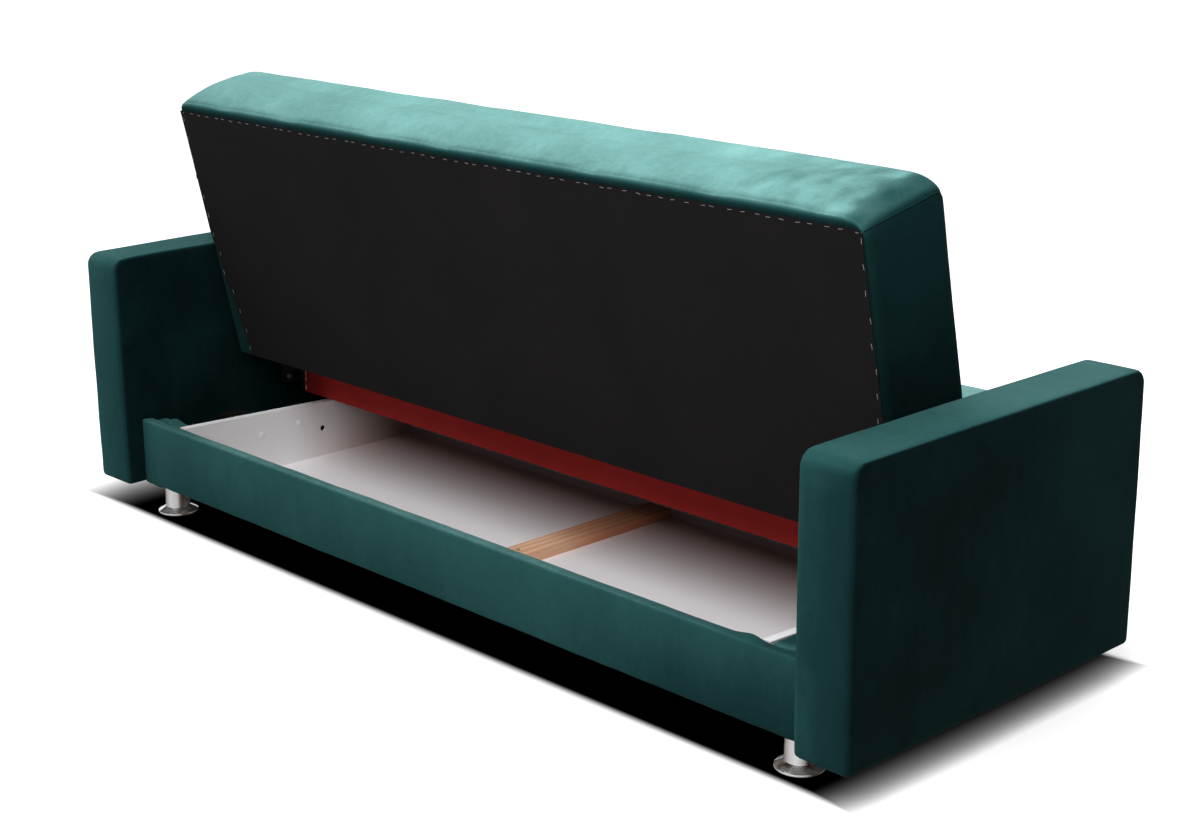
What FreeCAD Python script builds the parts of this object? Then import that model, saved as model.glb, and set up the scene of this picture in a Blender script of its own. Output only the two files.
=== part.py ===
import FreeCAD, Part
import math
import os
import Sketcher

# Click-clack sofa bed, seen and built from the rear: two upholstered arms carry a storage
# box, and a pair of steel brackets in the gaps beside the cushions carries seat and back.
# Frame: +X to the left of a person who sits on it, +Y to the rear, +Z up.
# The origin is on the floor, in the middle of the closed sofa.
# Setback is the distance in front of the arms' rear faces.

DOC = FreeCAD.newDocument("SofaBed")
SHEET = DOC.addObject("Spreadsheet::Sheet", "Sizes")

SIZES = {
    # Whole object
    "outer_width": 2160,
    "leg_height": 65,
    # Arms
    "arm_width": 113,
    "arm_depth": 776,
    "arm_top": 572,
    "arm_padding": 10,
    "arm_rounding": 15,
    "arm_panel": 16,
    "arm_outer_panel": 4,
    "arm_rail_height": 40,
    # Storage box
    "rail_setback": 43,
    "rail_board": 18,
    "rail_padding": 4.5,
    "rear_rail_top": 209.5,
    "front_rail_top": 190,
    "side_inset": 110,
    "side_board": 18,
    "side_rear_top": 208,
    "side_front_top": 184,
    "floor_sheet": 3,
    "sheet_joint": 2,
    "cleat": 20,
    "slat_width": 63,
    "slat_thickness": 19,
    "block_length": 100,
    "block_height": 60,
    "butt_gap": 0.3,
    # Bolts that tie the box sides to the arms
    "tie_setback": 436,
    "tie_pitch": 167,
    "tie_level": 133,
    "tie_step": 17,
    "tie_radius": 4,
    "tie_head_radius": 6.5,
    "tie_head": 5,
    "tie_recess": 8,
    "spacer_size": 60,
    "hole_clearance": 0.2,
    # Legs
    "leg_inset": 56,
    "leg_setback": 86,
    "leg_radius": 26.5,
    "leg_wall": 1.5,
    "foot_radius": 43,
    "foot_rim": 3,
    "foot_flare": 9,
    "glide_height": 3,
    "leg_cap": 4,
    "leg_bolt_radius": 4,
    "leg_bolt_reach": 40,
    # Seat
    "seat_setback": 452,
    "seat_depth": 484,
    "seat_bottom": 201,
    "seat_crown": 12,
    "lining": 1,
    "seat_lining_inset": 18,
    "seat_lining_height": 128,
    "seat_glide_length": 123,
    "seat_glide_width": 30,
    "seat_glide_spacing": 520,
    "seat_glide_lead": 2,
    # Back
    "back_setback": 291.5,
    "back_foot": 321,
    "back_height": 590,
    "back_thickness": 203,
    "back_tilt": 12,
    "back_crown": 16,
    "bed_level": 215,
    "bed_gap": 5,
    "back_lining_top": 566,
    "back_lining_edge": 2,
    "back_lining_foot": 4,
    "back_lining_wedge": 47,
    "back_lining_wedge_height": 290,
    # Cushions
    "end_gap": 27,
    "cushion_wall": 10,
    "pocket_depth": 72,
    "crease_rounding": 100,
    "nose_rounding": 45,
    "edge_rounding": 18,
    "end_rounding": 18,
    "side_draw": 3,
    # Wooden frames in the seat and the back
    "frame_rail": 30,
    "frame_depth": 60,
    "cross_rail_depth": 40,
    "cross_rail_pitch": 465,
    # Wave springs
    "spring_wire": 1.7,
    "spring_spacing": 205,
    "spring_run": 34,
    "spring_lift": 0.3,
    "clip_width": 14,
    "clip_length": 16,
    "clip_height": 6,
    # Click-clack brackets
    "plate": 4,
    "layer_gap": 0.5,
    "side_clearance": 0.3,
    "link_travel": 90,
    "link_rise": 90,
    "link_width": 36,
    "pin_radius": 8,
    "pin_clearance": 0.1,
    "pin_head_radius": 13,
    "pin_head": 3,
    "base_plate": 5,
    "base_plate_width": 118,
    "base_plate_height": 110,
    "bracket_screw_radius": 2.5,
    "bracket_screw_head_radius": 5,
    "bracket_screw_head": 3,
    "bracket_screw_length": 26,
    "bracket_screw_margin": 14,
    "wheel_radius": 34,
    "notch_radius": 3,
    "pawl_tip_gap": 1.5,
    "pawl_arm": 26.5,
    "pawl_width": 12,
    "pawl_tail": 9,
    "pawl_pin_radius": 3,
    "frame_bolt_radius": 4,
    "frame_bolt_head_radius": 7,
    "frame_bolt_head": 4,
    "frame_bolt_length": 42,
    "seat_bolt_setback": 500,
    "seat_bolt_pitch": 62,
    "back_bolt_height": 72,
    "back_bolt_pitch": 70,
    "spacer_tube_radius": 9,
    # Staples
    "staple_width": 12,
    "staple_wire": 1.2,
    "staple_pitch": 41,
    "staple_inset": 5,
}

COLUMN = "A"
for row, (alias, value) in enumerate(SIZES.items(), start=1):
    SHEET.set(f"{COLUMN}{row}", str(value))
    SHEET.setAlias(f"{COLUMN}{row}", alias)
DOC.recompute()


class Size:
    """A dimension: its number, and the expression that binds it to the sheet."""

    def __init__(self, number, text):
        self.number = number
        self.text = text

    def __add__(self, other):
        other = as_size(other)
        return Size(self.number + other.number, f"({self.text} + {other.text})")

    def __sub__(self, other):
        other = as_size(other)
        return Size(self.number - other.number, f"({self.text} - {other.text})")

    def __mul__(self, other):
        other = as_size(other)
        return Size(self.number * other.number, f"({self.text} * {other.text})")

    def __truediv__(self, other):
        other = as_size(other)
        return Size(self.number / other.number, f"({self.text} / {other.text})")

    def __radd__(self, other):
        return as_size(other) + self

    def __rsub__(self, other):
        return as_size(other) - self

    def __rmul__(self, other):
        return as_size(other) * self

    def __neg__(self):
        return Size(-self.number, f"(0 - {self.text})")


def as_size(value):
    return value if isinstance(value, Size) else Size(float(value), repr(float(value)))


def sine(angle):
    return Size(math.sin(math.radians(angle.number)), f"sin({angle.text})")


def cosine(angle):
    return Size(math.cos(math.radians(angle.number)), f"cos({angle.text})")


def tangent(angle):
    return Size(math.tan(math.radians(angle.number)), f"tan({angle.text})")


class SheetSizes:
    """The sheet's cells as sizes, read by their alias."""

    def __getattr__(self, alias):
        return Size(float(SHEET.get(alias)), f"Sizes.{alias}")


S = SheetSizes()
RIGHT_ANGLE = 90
HALF_TURN = 180
NODES = []


# Helpers

def node(thing, label):
    """Name a finished sub-part and list it."""
    thing.Label = label
    NODES.append(thing)
    return thing


def move(thing, x=0, y=0, z=0):
    for axis, value in zip("xyz", (x, y, z)):
        thing.setExpression(f".Placement.Base.{axis}", as_size(value).text)
    return thing


def box(name, xs, ys, zs):
    solid = DOC.addObject("Part::Box", name)
    spans = [(as_size(low), as_size(high)) for low, high in (xs, ys, zs)]
    for side, (low, high) in zip(("Length", "Width", "Height"), spans):
        solid.setExpression(side, (high - low).text)
    return move(solid, *(low for low, _ in spans))


def rod(name, direction, radius, span, across):
    """A cylinder along X, Y or Z; span is its start and end, across its other two places."""
    solid = DOC.addObject("Part::Cylinder", name)
    low, high = as_size(span[0]), as_size(span[1])
    solid.setExpression("Radius", as_size(radius).text)
    solid.setExpression("Height", (high - low).text)
    if direction == "x":
        solid.Placement.Rotation = FreeCAD.Rotation(FreeCAD.Vector(0, 1, 0), RIGHT_ANGLE)
        return move(solid, low, *across)
    if direction == "y":
        solid.Placement.Rotation = FreeCAD.Rotation(FreeCAD.Vector(1, 0, 0), -RIGHT_ANGLE)
        return move(solid, across[0], low, across[1])
    return move(solid, across[0], across[1], low)


def compound(name, members):
    thing = DOC.addObject("Part::Compound", name)
    thing.Links = members
    return thing


def fuse(name, members):
    thing = DOC.addObject("Part::MultiFuse", name)
    thing.Shapes = members
    return thing


def cut(name, base, tools):
    thing = DOC.addObject("Part::Cut", name)
    thing.Base = base
    thing.Tool = compound(f"{name}_tools", tools)
    return thing


def shaped(name, shape):
    thing = DOC.addObject("Part::Feature", name)
    thing.Shape = shape
    return thing


def sided(side, inner, outer):
    """The X span of a piece that is given by its distances from the middle."""
    inner, outer = as_size(inner), as_size(outer)
    return (inner, outer) if side > 0 else (-outer, -inner)


def bolt(name, side, seat, tip, place, radius, head_radius, head):
    """A bolt along X: seat is where its head sits, tip its end, both from the middle."""
    outward = 1 if tip.number > seat.number else -1
    shank = sided(side, seat, tip) if outward > 0 else sided(side, tip, seat)
    top = seat - outward * head
    cap = sided(side, top, seat) if outward > 0 else sided(side, seat, top)
    return fuse(name, [
        rod(f"{name}_shank", "x", radius, shank, place),
        rod(f"{name}_head", "x", head_radius, cap, place),
    ])


def plate(name, plane, thickness, corners, holes=()):
    """A flat piece: a sketch on one of its own origin planes, padded to its thickness."""
    body = DOC.addObject("PartDesign::Body", name)
    sketch = body.newObject("Sketcher::SketchObject", f"{name}_outline")
    origin_plane = [item for item in body.Origin.OriginFeatures if item.Role == plane][0]
    sketch.AttachmentSupport = [(origin_plane, "")]
    sketch.MapMode = "FlatFace"
    points = [(as_size(a), as_size(b)) for a, b in corners]
    count = len(points)
    for index, (a, b) in enumerate(points):
        after = points[(index + 1) % count]
        start = FreeCAD.Vector(a.number, b.number, 0)
        end = FreeCAD.Vector(after[0].number, after[1].number, 0)
        sketch.addGeometry(Part.LineSegment(start, end), False)
    for index in range(count):
        sketch.addConstraint(Sketcher.Constraint("Coincident", index, 2, (index + 1) % count, 1))
    for index, (a, b) in enumerate(points):
        pin_point(sketch, index, 1, a, b)
    for a, b, radius in holes:
        a, b, radius = as_size(a), as_size(b), as_size(radius)
        centre = FreeCAD.Vector(a.number, b.number, 0)
        circle = Part.Circle(centre, FreeCAD.Vector(0, 0, 1), radius.number)
        index = sketch.addGeometry(circle, False)
        pin_point(sketch, index, 3, a, b)
        dimension(sketch, Sketcher.Constraint("Radius", index, radius.number), radius)
    pad = body.newObject("PartDesign::Pad", f"{name}_pad")
    pad.Profile = sketch
    pad.setExpression("Length", as_size(thickness).text)
    return body


def pin_point(sketch, geometry, point, a, b):
    across = Sketcher.Constraint("DistanceX", -1, 1, geometry, point, a.number)
    dimension(sketch, across, a)
    up = Sketcher.Constraint("DistanceY", -1, 1, geometry, point, b.number)
    dimension(sketch, up, b)


def dimension(sketch, constraint, size):
    index = sketch.addConstraint(constraint)
    label = f"size_{index}"
    sketch.renameConstraint(index, label)
    sketch.setExpression(f"Constraints.{label}", size.text)


# Places that several pieces share

REAR = (S.seat_setback + S.seat_depth) / 2
SIDES = {"left": 1, "right": -1}


def at(setback):
    """The Y place of a distance in front of the arms' rear faces."""
    return REAR - setback


ARM_OUTER = S.outer_width / 2
ARM_INNER = ARM_OUTER - S.arm_width
CUSHION_END = ARM_INNER - S.end_gap
SIDE_OUTER = ARM_INNER - S.side_inset
SIDE_INNER = SIDE_OUTER - S.side_board
RAIL_THICKNESS = S.rail_board + 2 * S.rail_padding
BOX_REAR = S.rail_setback + RAIL_THICKNESS
BOX_FRONT = S.arm_depth - S.rail_setback - RAIL_THICKNESS
BOX_FRONT_FACE = S.arm_depth - S.rail_setback
SHEET_TOP = S.leg_height + S.floor_sheet
SEAT_TOP = S.bed_level + S.back_thickness
SEAT_THICKNESS = SEAT_TOP - S.seat_bottom
SEAT_FRONT = S.seat_setback + S.seat_depth
SEAT_FRAME_TOP = S.seat_bottom + S.frame_depth
FRAME_END = CUSHION_END - S.cushion_wall

# The hub is the one point about which the back turns, seen from the seat, from its leaning
# place to its flat place level with the seat.
TURN = RIGHT_ANGLE - S.back_tilt
FOOT_SHIFT = S.back_setback - (S.seat_setback - S.bed_gap)
FOOT_DROP = S.bed_level - S.back_foot
HUB_SETBACK = (S.back_setback + S.seat_setback - S.bed_gap) / 2 - FOOT_DROP / (2 * tangent(TURN / 2))
HUB_LEVEL = (S.back_foot + S.bed_level) / 2 - FOOT_SHIFT / (2 * tangent(TURN / 2))
PIVOT_SETBACK = HUB_SETBACK + S.link_travel / 2
PIVOT_LEVEL = HUB_LEVEL - S.link_rise


def layer(number):
    """The X span of a bracket layer, counted outwards from the cushion's end."""
    inner = CUSHION_END + S.side_clearance + number * (S.plate + S.layer_gap)
    return inner, inner + S.plate


SEAT_LAYER, WHEEL_LAYER, BACK_LAYER, LINK_LAYER = (layer(number) for number in range(4))
BASE_OUTER = ARM_INNER - S.side_clearance
BASE_INNER = BASE_OUTER - S.base_plate
PIN_HOLE = S.pin_radius + S.pin_clearance


def lean(thing, x=0):
    """Stand a piece that is drawn along the back's rear face at the back's foot and tilt."""
    thing.Placement.Rotation = FreeCAD.Rotation(FreeCAD.Vector(-1, 0, 0), S.back_tilt.number)
    thing.setExpression(".Placement.Rotation.Angle", S.back_tilt.text)
    return move(thing, x, at(S.back_setback), S.back_foot)


# The hub, seen from the back's foot: how deep it lies and how far up the back
HUB_OUT = HUB_SETBACK - S.back_setback
HUB_UP = HUB_LEVEL - S.back_foot
HUB_DEPTH = HUB_OUT * cosine(S.back_tilt) + HUB_UP * sine(S.back_tilt)
HUB_HEIGHT = HUB_UP * cosine(S.back_tilt) - HUB_OUT * sine(S.back_tilt)


# Arms

BRACKET_CORNERS = [
    (across * (S.base_plate_width / 2 - S.bracket_screw_margin),
     up * (S.base_plate_height / 2 - S.bracket_screw_margin))
    for across in (1, -1) for up in (1, -1)
]
BRACKET_SCREWS = [(at(PIVOT_SETBACK) + across, PIVOT_LEVEL + up) for across, up in BRACKET_CORNERS]
TIE_BOLTS = [(at(S.tie_setback - step * S.tie_pitch), S.tie_level + step * S.tie_step)
             for step in (1, 0)]


def arm_holes(name, side, inner, outer):
    """What the bracket screws and the tie bolts need to pass through an arm's inner wall."""
    span = sided(side, inner - S.butt_gap, outer + S.butt_gap)
    holes = []
    for number, place in enumerate(BRACKET_SCREWS):
        radius = S.bracket_screw_radius + S.hole_clearance
        holes.append(rod(f"{name}_screw_hole_{number}", "x", radius, span, place))
    for number, place in enumerate(TIE_BOLTS):
        radius = S.tie_radius + S.hole_clearance
        holes.append(rod(f"{name}_tie_hole_{number}", "x", radius, span, place))
    return holes


def arm(word, side):
    pad = S.arm_padding
    ys = (at(S.arm_depth), at(0))
    zs = (S.leg_height, S.arm_top)
    core_xs = (ARM_INNER + pad, ARM_OUTER - pad)
    core_ys = (ys[0] + pad, ys[1] - pad)
    core_zs = (zs[0] + pad, zs[1] - pad)

    block = box(f"arm_block_{word}", sided(side, ARM_INNER, ARM_OUTER), ys, zs)
    DOC.recompute()
    rounded = DOC.addObject("Part::Fillet", f"arm_rounded_{word}")
    rounded.Base = block
    radius = S.arm_rounding.number
    rounded.Edges = [(edge, radius, radius) for edge in range(1, len(block.Shape.Edges) + 1)]
    core = box(f"arm_core_{word}", sided(side, *core_xs), core_ys, core_zs)
    wall_end = core_xs[0]
    holes = arm_holes(f"arm_cover_{word}", side, ARM_INNER, wall_end)
    node(cut(f"arm_cover_cut_{word}", rounded, [core] + holes), f"arm_cover_{word}")

    panel_end = core_xs[0] + S.arm_panel
    skin_start = core_xs[1] - S.arm_outer_panel
    panel = box(f"arm_inner_panel_{word}", sided(side, core_xs[0], panel_end), core_ys, core_zs)
    holes = arm_holes(f"arm_panel_{word}", side, core_xs[0], panel_end)
    between = sided(side, panel_end, skin_start)
    rail = S.arm_rail_height
    members = [
        cut(f"arm_panel_cut_{word}", panel, holes),
        box(f"arm_outer_panel_{word}", sided(side, skin_start, core_xs[1]), core_ys, core_zs),
        box(f"arm_top_rail_{word}", between, core_ys, (core_zs[1] - rail, core_zs[1])),
        box(f"arm_foot_rail_{word}", between, core_ys, (core_zs[0], core_zs[0] + rail)),
    ]
    post_zs = (core_zs[0] + rail, core_zs[1] - rail)
    for place, low in (("front", core_ys[0]), ("rear", core_ys[1] - rail)):
        members.append(box(f"arm_{place}_post_{word}", between, (low, low + rail), post_zs))
    node(compound(f"arm_frame_parts_{word}", members), f"arm_frame_{word}")


for word, side in SIDES.items():
    arm(word, side)


# Storage box

RAIL_XS = (-(ARM_INNER - S.butt_gap), ARM_INNER - S.butt_gap)


def rail(word, setback, top):
    """A chipboard rail between the arms, and the velvet that is pulled round it."""
    pad = S.rail_padding
    board_ys = (at(setback + pad + S.rail_board), at(setback + pad))
    board_zs = (S.leg_height + pad, top - pad)
    node(box(f"{word}_rail_box", RAIL_XS, board_ys, board_zs), f"{word}_rail")
    outer = box(f"{word}_cover_outer", RAIL_XS, (at(setback + RAIL_THICKNESS), at(setback)),
                (S.leg_height, top))
    inner = box(f"{word}_cover_inner", (RAIL_XS[0] - pad, RAIL_XS[1] + pad), board_ys, board_zs)
    node(cut(f"{word}_cover_cut", outer, [inner]), f"{word}_rail_cover")


rail("rear", S.rail_setback, S.rear_rail_top)
rail("front", BOX_FRONT, S.front_rail_top)

SIDE_YS = (at(BOX_FRONT), at(BOX_REAR))
for word, side in SIDES.items():
    panel = plate(
        f"side_panel_{word}", "YZ_Plane", S.side_board,
        [(SIDE_YS[0], SHEET_TOP), (SIDE_YS[1], SHEET_TOP),
         (SIDE_YS[1], S.side_rear_top), (SIDE_YS[0], S.side_front_top)],
        [(y, z, S.tie_radius + S.hole_clearance) for y, z in TIE_BOLTS])
    move(panel, sided(side, SIDE_INNER, SIDE_OUTER)[0])
    recess_span = sided(side, SIDE_INNER - S.butt_gap, SIDE_INNER + S.tie_recess)
    recesses = [rod(f"side_recess_{word}_{number}", "x", S.tie_head_radius + S.hole_clearance,
                    recess_span, place) for number, place in enumerate(TIE_BOLTS)]
    node(cut(f"side_cut_{word}", panel, recesses), f"box_side_{word}")

for word, side in SIDES.items():
    xs = sided(side, S.sheet_joint / 2, SIDE_OUTER)
    zs = (S.leg_height, SHEET_TOP)
    node(box(f"floor_sheet_box_{word}", xs, SIDE_YS, zs), f"floor_sheet_{word}")

CLEAT_XS = (-SIDE_INNER, SIDE_INNER)
CLEAT_ZS = (SHEET_TOP, SHEET_TOP + S.cleat)
node(compound("floor_cleat_pair", [
    box("floor_cleat_rear", CLEAT_XS, (at(BOX_REAR + S.cleat), at(BOX_REAR)), CLEAT_ZS),
    box("floor_cleat_front", CLEAT_XS, (at(BOX_FRONT), at(BOX_FRONT - S.cleat)), CLEAT_ZS),
]), "floor_cleats")
node(box("centre_slat_box", (-S.slat_width / 2, S.slat_width / 2),
         (at(BOX_FRONT - S.cleat), at(BOX_REAR + S.cleat)),
         (SHEET_TOP, SHEET_TOP + S.slat_thickness)), "centre_slat")

LEG_X = ARM_INNER - S.leg_inset
LEG_SETBACKS = {"rear": S.leg_setback, "front": S.arm_depth - S.leg_setback}
LEG_PLACES = [(side * LEG_X, at(setback)) for side in SIDES.values()
              for setback in LEG_SETBACKS.values()]

blocks = []
for word, side in SIDES.items():
    xs = sided(side, SIDE_OUTER, ARM_INNER - S.butt_gap)
    zs = (S.leg_height, S.leg_height + S.block_height)
    for place, setback in (("rear", BOX_REAR), ("front", BOX_FRONT - S.block_length)):
        ys = (at(setback + S.block_length), at(setback))
        block = box(f"corner_block_{place}_{word}", xs, ys, zs)
        leg_y = at(LEG_SETBACKS[place])
        hole = rod(f"block_hole_{place}_{word}", "z", S.leg_bolt_radius + S.hole_clearance,
                   (zs[0] - S.butt_gap, zs[1] + S.butt_gap), (side * LEG_X, leg_y))
        blocks.append(cut(f"block_cut_{place}_{word}", block, [hole]))
node(compound("corner_block_set", blocks), "corner_blocks")

spacers = []
for word, side in SIDES.items():
    xs = sided(side, SIDE_OUTER, ARM_INNER - S.butt_gap)
    for number, (y, z) in enumerate(TIE_BOLTS):
        half = S.spacer_size / 2
        block = box(f"spacer_block_{word}_{number}", xs, (y - half, y + half), (z - half, z + half))
        hole = rod(f"spacer_hole_{word}_{number}", "x", S.tie_radius + S.hole_clearance,
                   (xs[0] - S.butt_gap, xs[1] + S.butt_gap), (y, z))
        spacers.append(cut(f"spacer_cut_{word}_{number}", block, [hole]))
node(compound("spacer_set", spacers), "arm_spacers")

ties = []
for word, side in SIDES.items():
    for number, place in enumerate(TIE_BOLTS):
        seat = SIDE_INNER + S.tie_recess
        tip = ARM_INNER + S.arm_padding + S.arm_panel
        ties.append(bolt(f"tie_bolt_{word}_{number}", side, seat, tip, place,
                         S.tie_radius, S.tie_head_radius, S.tie_head))
node(compound("tie_bolt_set", ties), "tie_bolts")


# Legs

FOOT_TOP = S.glide_height + S.foot_rim
FLARE_TOP = FOOT_TOP + S.foot_flare
LEG_BORE = S.leg_radius - S.leg_wall
tubes, feet, caps, glides, studs = [], [], [], [], []
for number, place in enumerate(LEG_PLACES):
    tube = rod(f"leg_tube_{number}", "z", S.leg_radius, (FLARE_TOP, S.leg_height), place)
    bore = rod(f"leg_bore_{number}", "z", LEG_BORE,
               (FLARE_TOP - S.butt_gap, S.leg_height + S.butt_gap), place)
    tubes.append(cut(f"leg_tube_cut_{number}", tube, [bore]))

    rim = rod(f"foot_rim_{number}", "z", S.foot_radius, (S.glide_height, FOOT_TOP), place)
    flare = DOC.addObject("Part::Cone", f"foot_flare_{number}")
    flare.setExpression("Radius1", S.foot_radius.text)
    flare.setExpression("Radius2", S.leg_radius.text)
    flare.setExpression("Height", S.foot_flare.text)
    move(flare, *place, FOOT_TOP)
    feet.append(fuse(f"foot_fuse_{number}", [rim, flare]))

    glides.append(rod(f"leg_glide_{number}", "z", S.foot_radius - S.foot_rim,
                      (0, S.glide_height), place))
    cap = rod(f"leg_cap_{number}", "z", LEG_BORE,
              (S.leg_height - S.leg_cap, S.leg_height), place)
    cap_hole = rod(f"leg_cap_hole_{number}", "z", S.leg_bolt_radius + S.hole_clearance,
                   (S.leg_height - S.leg_cap - S.butt_gap, S.leg_height + S.butt_gap), place)
    caps.append(cut(f"leg_cap_cut_{number}", cap, [cap_hole]))
    stud = rod(f"leg_stud_{number}", "z", S.leg_bolt_radius,
               (S.leg_height - S.leg_cap, S.leg_height + S.leg_bolt_reach), place)
    stud_head = rod(f"leg_stud_head_{number}", "z", 2 * S.leg_bolt_radius,
                    (S.leg_height - 2 * S.leg_cap, S.leg_height - S.leg_cap), place)
    studs.append(fuse(f"leg_stud_fuse_{number}", [stud, stud_head]))
for members, label in ((tubes, "leg_tubes"), (feet, "leg_feet"), (caps, "leg_caps"),
                       (glides, "leg_glides"), (studs, "leg_bolts")):
    node(compound(f"{label}_set", members), label)


# Brackets: base plates and pivot pins on the arms

for word, side in SIDES.items():
    half_width = S.base_plate_width / 2
    half_height = S.base_plate_height / 2
    y, z = at(PIVOT_SETBACK), PIVOT_LEVEL
    corners = [(y - half_width, z - half_height), (y + half_width, z - half_height),
               (y + half_width, z + half_height), (y - half_width, z + half_height)]
    holes = [(hole_y, hole_z, S.bracket_screw_radius + S.hole_clearance)
             for hole_y, hole_z in BRACKET_SCREWS]
    holes.append((y, z, S.pin_radius))
    base = plate(f"base_plate_body_{word}", "YZ_Plane", S.base_plate, corners, holes)
    node(move(base, sided(side, BASE_INNER, BASE_OUTER)[0]), f"base_plate_{word}")

screws, pivots = [], []
for word, side in SIDES.items():
    for number, place in enumerate(BRACKET_SCREWS):
        screws.append(bolt(f"bracket_screw_{word}_{number}", side, BASE_INNER,
                           BASE_INNER + S.bracket_screw_length, place,
                           S.bracket_screw_radius, S.bracket_screw_head_radius,
                           S.bracket_screw_head))
    pivots.append(rod(f"pivot_pin_{word}", "x", S.pin_radius,
                      sided(side, LINK_LAYER[0], BASE_OUTER), (at(PIVOT_SETBACK), PIVOT_LEVEL)))
node(compound("bracket_screw_set", screws), "bracket_screws")
node(compound("pivot_pin_set", pivots), "pivot_pins")


# Swing links and hub pins

LINK_LENGTH_SQUARED = S.link_rise * S.link_rise + S.link_travel * S.link_travel / 4
LINK_LENGTH = Size(math.sqrt(LINK_LENGTH_SQUARED.number), f"sqrt({LINK_LENGTH_SQUARED.text})")
LINK_LEAN = Size(math.degrees(math.atan(S.link_travel.number / (2 * S.link_rise.number))),
                 f"atan({S.link_travel.text} / (2 * {S.link_rise.text}))")

hub_pins = []
for word, side in SIDES.items():
    xs = sided(side, *LINK_LAYER)
    half = S.link_width / 2
    blank = fuse(f"link_blank_{word}", [
        box(f"link_bar_{word}", xs, (-half, half), (0, LINK_LENGTH)),
        rod(f"link_foot_{word}", "x", half, xs, (0, 0)),
        rod(f"link_head_{word}", "x", half, xs, (0, LINK_LENGTH)),
    ])
    long_xs = (xs[0] - S.plate, xs[1] + S.plate)
    holes = [rod(f"link_hole_{word}_{number}", "x", radius, long_xs, (0, up))
             for number, (up, radius) in enumerate(((0, PIN_HOLE), (LINK_LENGTH, S.pin_radius)))]
    link = cut(f"link_cut_{word}", blank, holes)
    link.Placement.Rotation = FreeCAD.Rotation(FreeCAD.Vector(-1, 0, 0), LINK_LEAN.number)
    link.setExpression(".Placement.Rotation.Angle", LINK_LEAN.text)
    node(move(link, 0, at(PIVOT_SETBACK), PIVOT_LEVEL), f"swing_link_{word}")
    place = (at(HUB_SETBACK), HUB_LEVEL)
    hub_pins.append(bolt(f"hub_pin_{word}", side, LINK_LAYER[1], SEAT_LAYER[0], place,
                         S.pin_radius, S.pin_head_radius, S.pin_head))
node(compound("hub_pin_set", hub_pins), "hub_pins")


# Ratchet wheels

NOTCHES = 20
for word, side in SIDES.items():
    xs = sided(side, *WHEEL_LAYER)
    long_xs = (xs[0] - S.plate, xs[1] + S.plate)
    centre = (at(HUB_SETBACK), HUB_LEVEL)
    wheel = rod(f"wheel_disc_{word}", "x", S.wheel_radius, xs, centre)
    tools = [rod(f"wheel_bore_{word}", "x", PIN_HOLE, long_xs, centre)]
    for number in range(NOTCHES):
        turn = as_size(number * 2 * HALF_TURN / NOTCHES)
        place = (centre[0] + S.wheel_radius * cosine(turn),
                 centre[1] + S.wheel_radius * sine(turn))
        tools.append(rod(f"wheel_notch_{word}_{number}", "x", S.notch_radius, long_xs, place))
    node(cut(f"wheel_cut_{word}", wheel, tools), f"ratchet_wheel_{word}")


# Wooden frames, wave springs and their clips; along is the length between their long rails

CROSS_RAILS = (-1, 0, 1)
SPRINGS_EACH_SIDE = 4
SPRING_BENDS = 14


def frame_members(name, along, place, bolts):
    """Rails of a frame; place turns (x span, along span, depth span) into a box."""
    low, high = S.cushion_wall, along - S.cushion_wall
    rail_width = S.frame_rail
    full = (S.lining, S.lining + S.frame_depth)
    shallow = (S.lining, S.lining + S.cross_rail_depth)
    long_xs = (-FRAME_END, FRAME_END)
    members = [
        place(f"{name}_low_rail", long_xs, (low, low + rail_width), full),
        place(f"{name}_high_rail", long_xs, (high - rail_width, high), full),
    ]
    between = (low + rail_width, high - rail_width)
    for word, side in SIDES.items():
        end = place(f"{name}_end_rail_{word}", sided(side, FRAME_END - rail_width, FRAME_END),
                    between, full)
        holes = bolts(f"{name}_end_hole_{word}", side, FRAME_END - rail_width - S.butt_gap,
                      FRAME_END + S.butt_gap)
        members.append(cut(f"{name}_end_cut_{word}", end, holes))
    for number in CROSS_RAILS:
        middle = number * S.cross_rail_pitch
        xs = (middle - rail_width / 2, middle + rail_width / 2)
        members.append(place(f"{name}_cross_rail_{number + 1}", xs, between, shallow))
    return members


def spring_stations():
    steps = range(1 - SPRINGS_EACH_SIDE, SPRINGS_EACH_SIDE)
    return [step * S.spring_spacing.number for step in steps]


def wave_spring(along, depth):
    """One flat wave of wire over a frame, drawn with its run along X and its waves along Y."""
    start = (S.cushion_wall + S.frame_rail / 2).number
    end = along.number - start
    bend = (end - start) / (2 * SPRING_BENDS)
    run = S.spring_run.number / 2
    edges = []
    here = FreeCAD.Vector(0, start, depth.number)
    towards = 1
    for _ in range(SPRING_BENDS):
        corner = FreeCAD.Vector(towards * run, here.y, here.z)
        edges.append(Part.LineSegment(here, corner).toShape())
        middle = corner + FreeCAD.Vector(towards * bend, bend, 0)
        here = corner + FreeCAD.Vector(0, 2 * bend, 0)
        edges.append(Part.Arc(corner, middle, here).toShape())
        towards = -towards
    edges.append(Part.LineSegment(here, FreeCAD.Vector(0, here.y, here.z)).toShape())
    path = Part.Wire(edges)
    ring = Part.Circle(FreeCAD.Vector(0, start, depth.number), FreeCAD.Vector(1, 0, 0),
                       S.spring_wire.number)
    return path.makePipeShell([Part.Wire(ring.toShape())], True, False)


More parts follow.
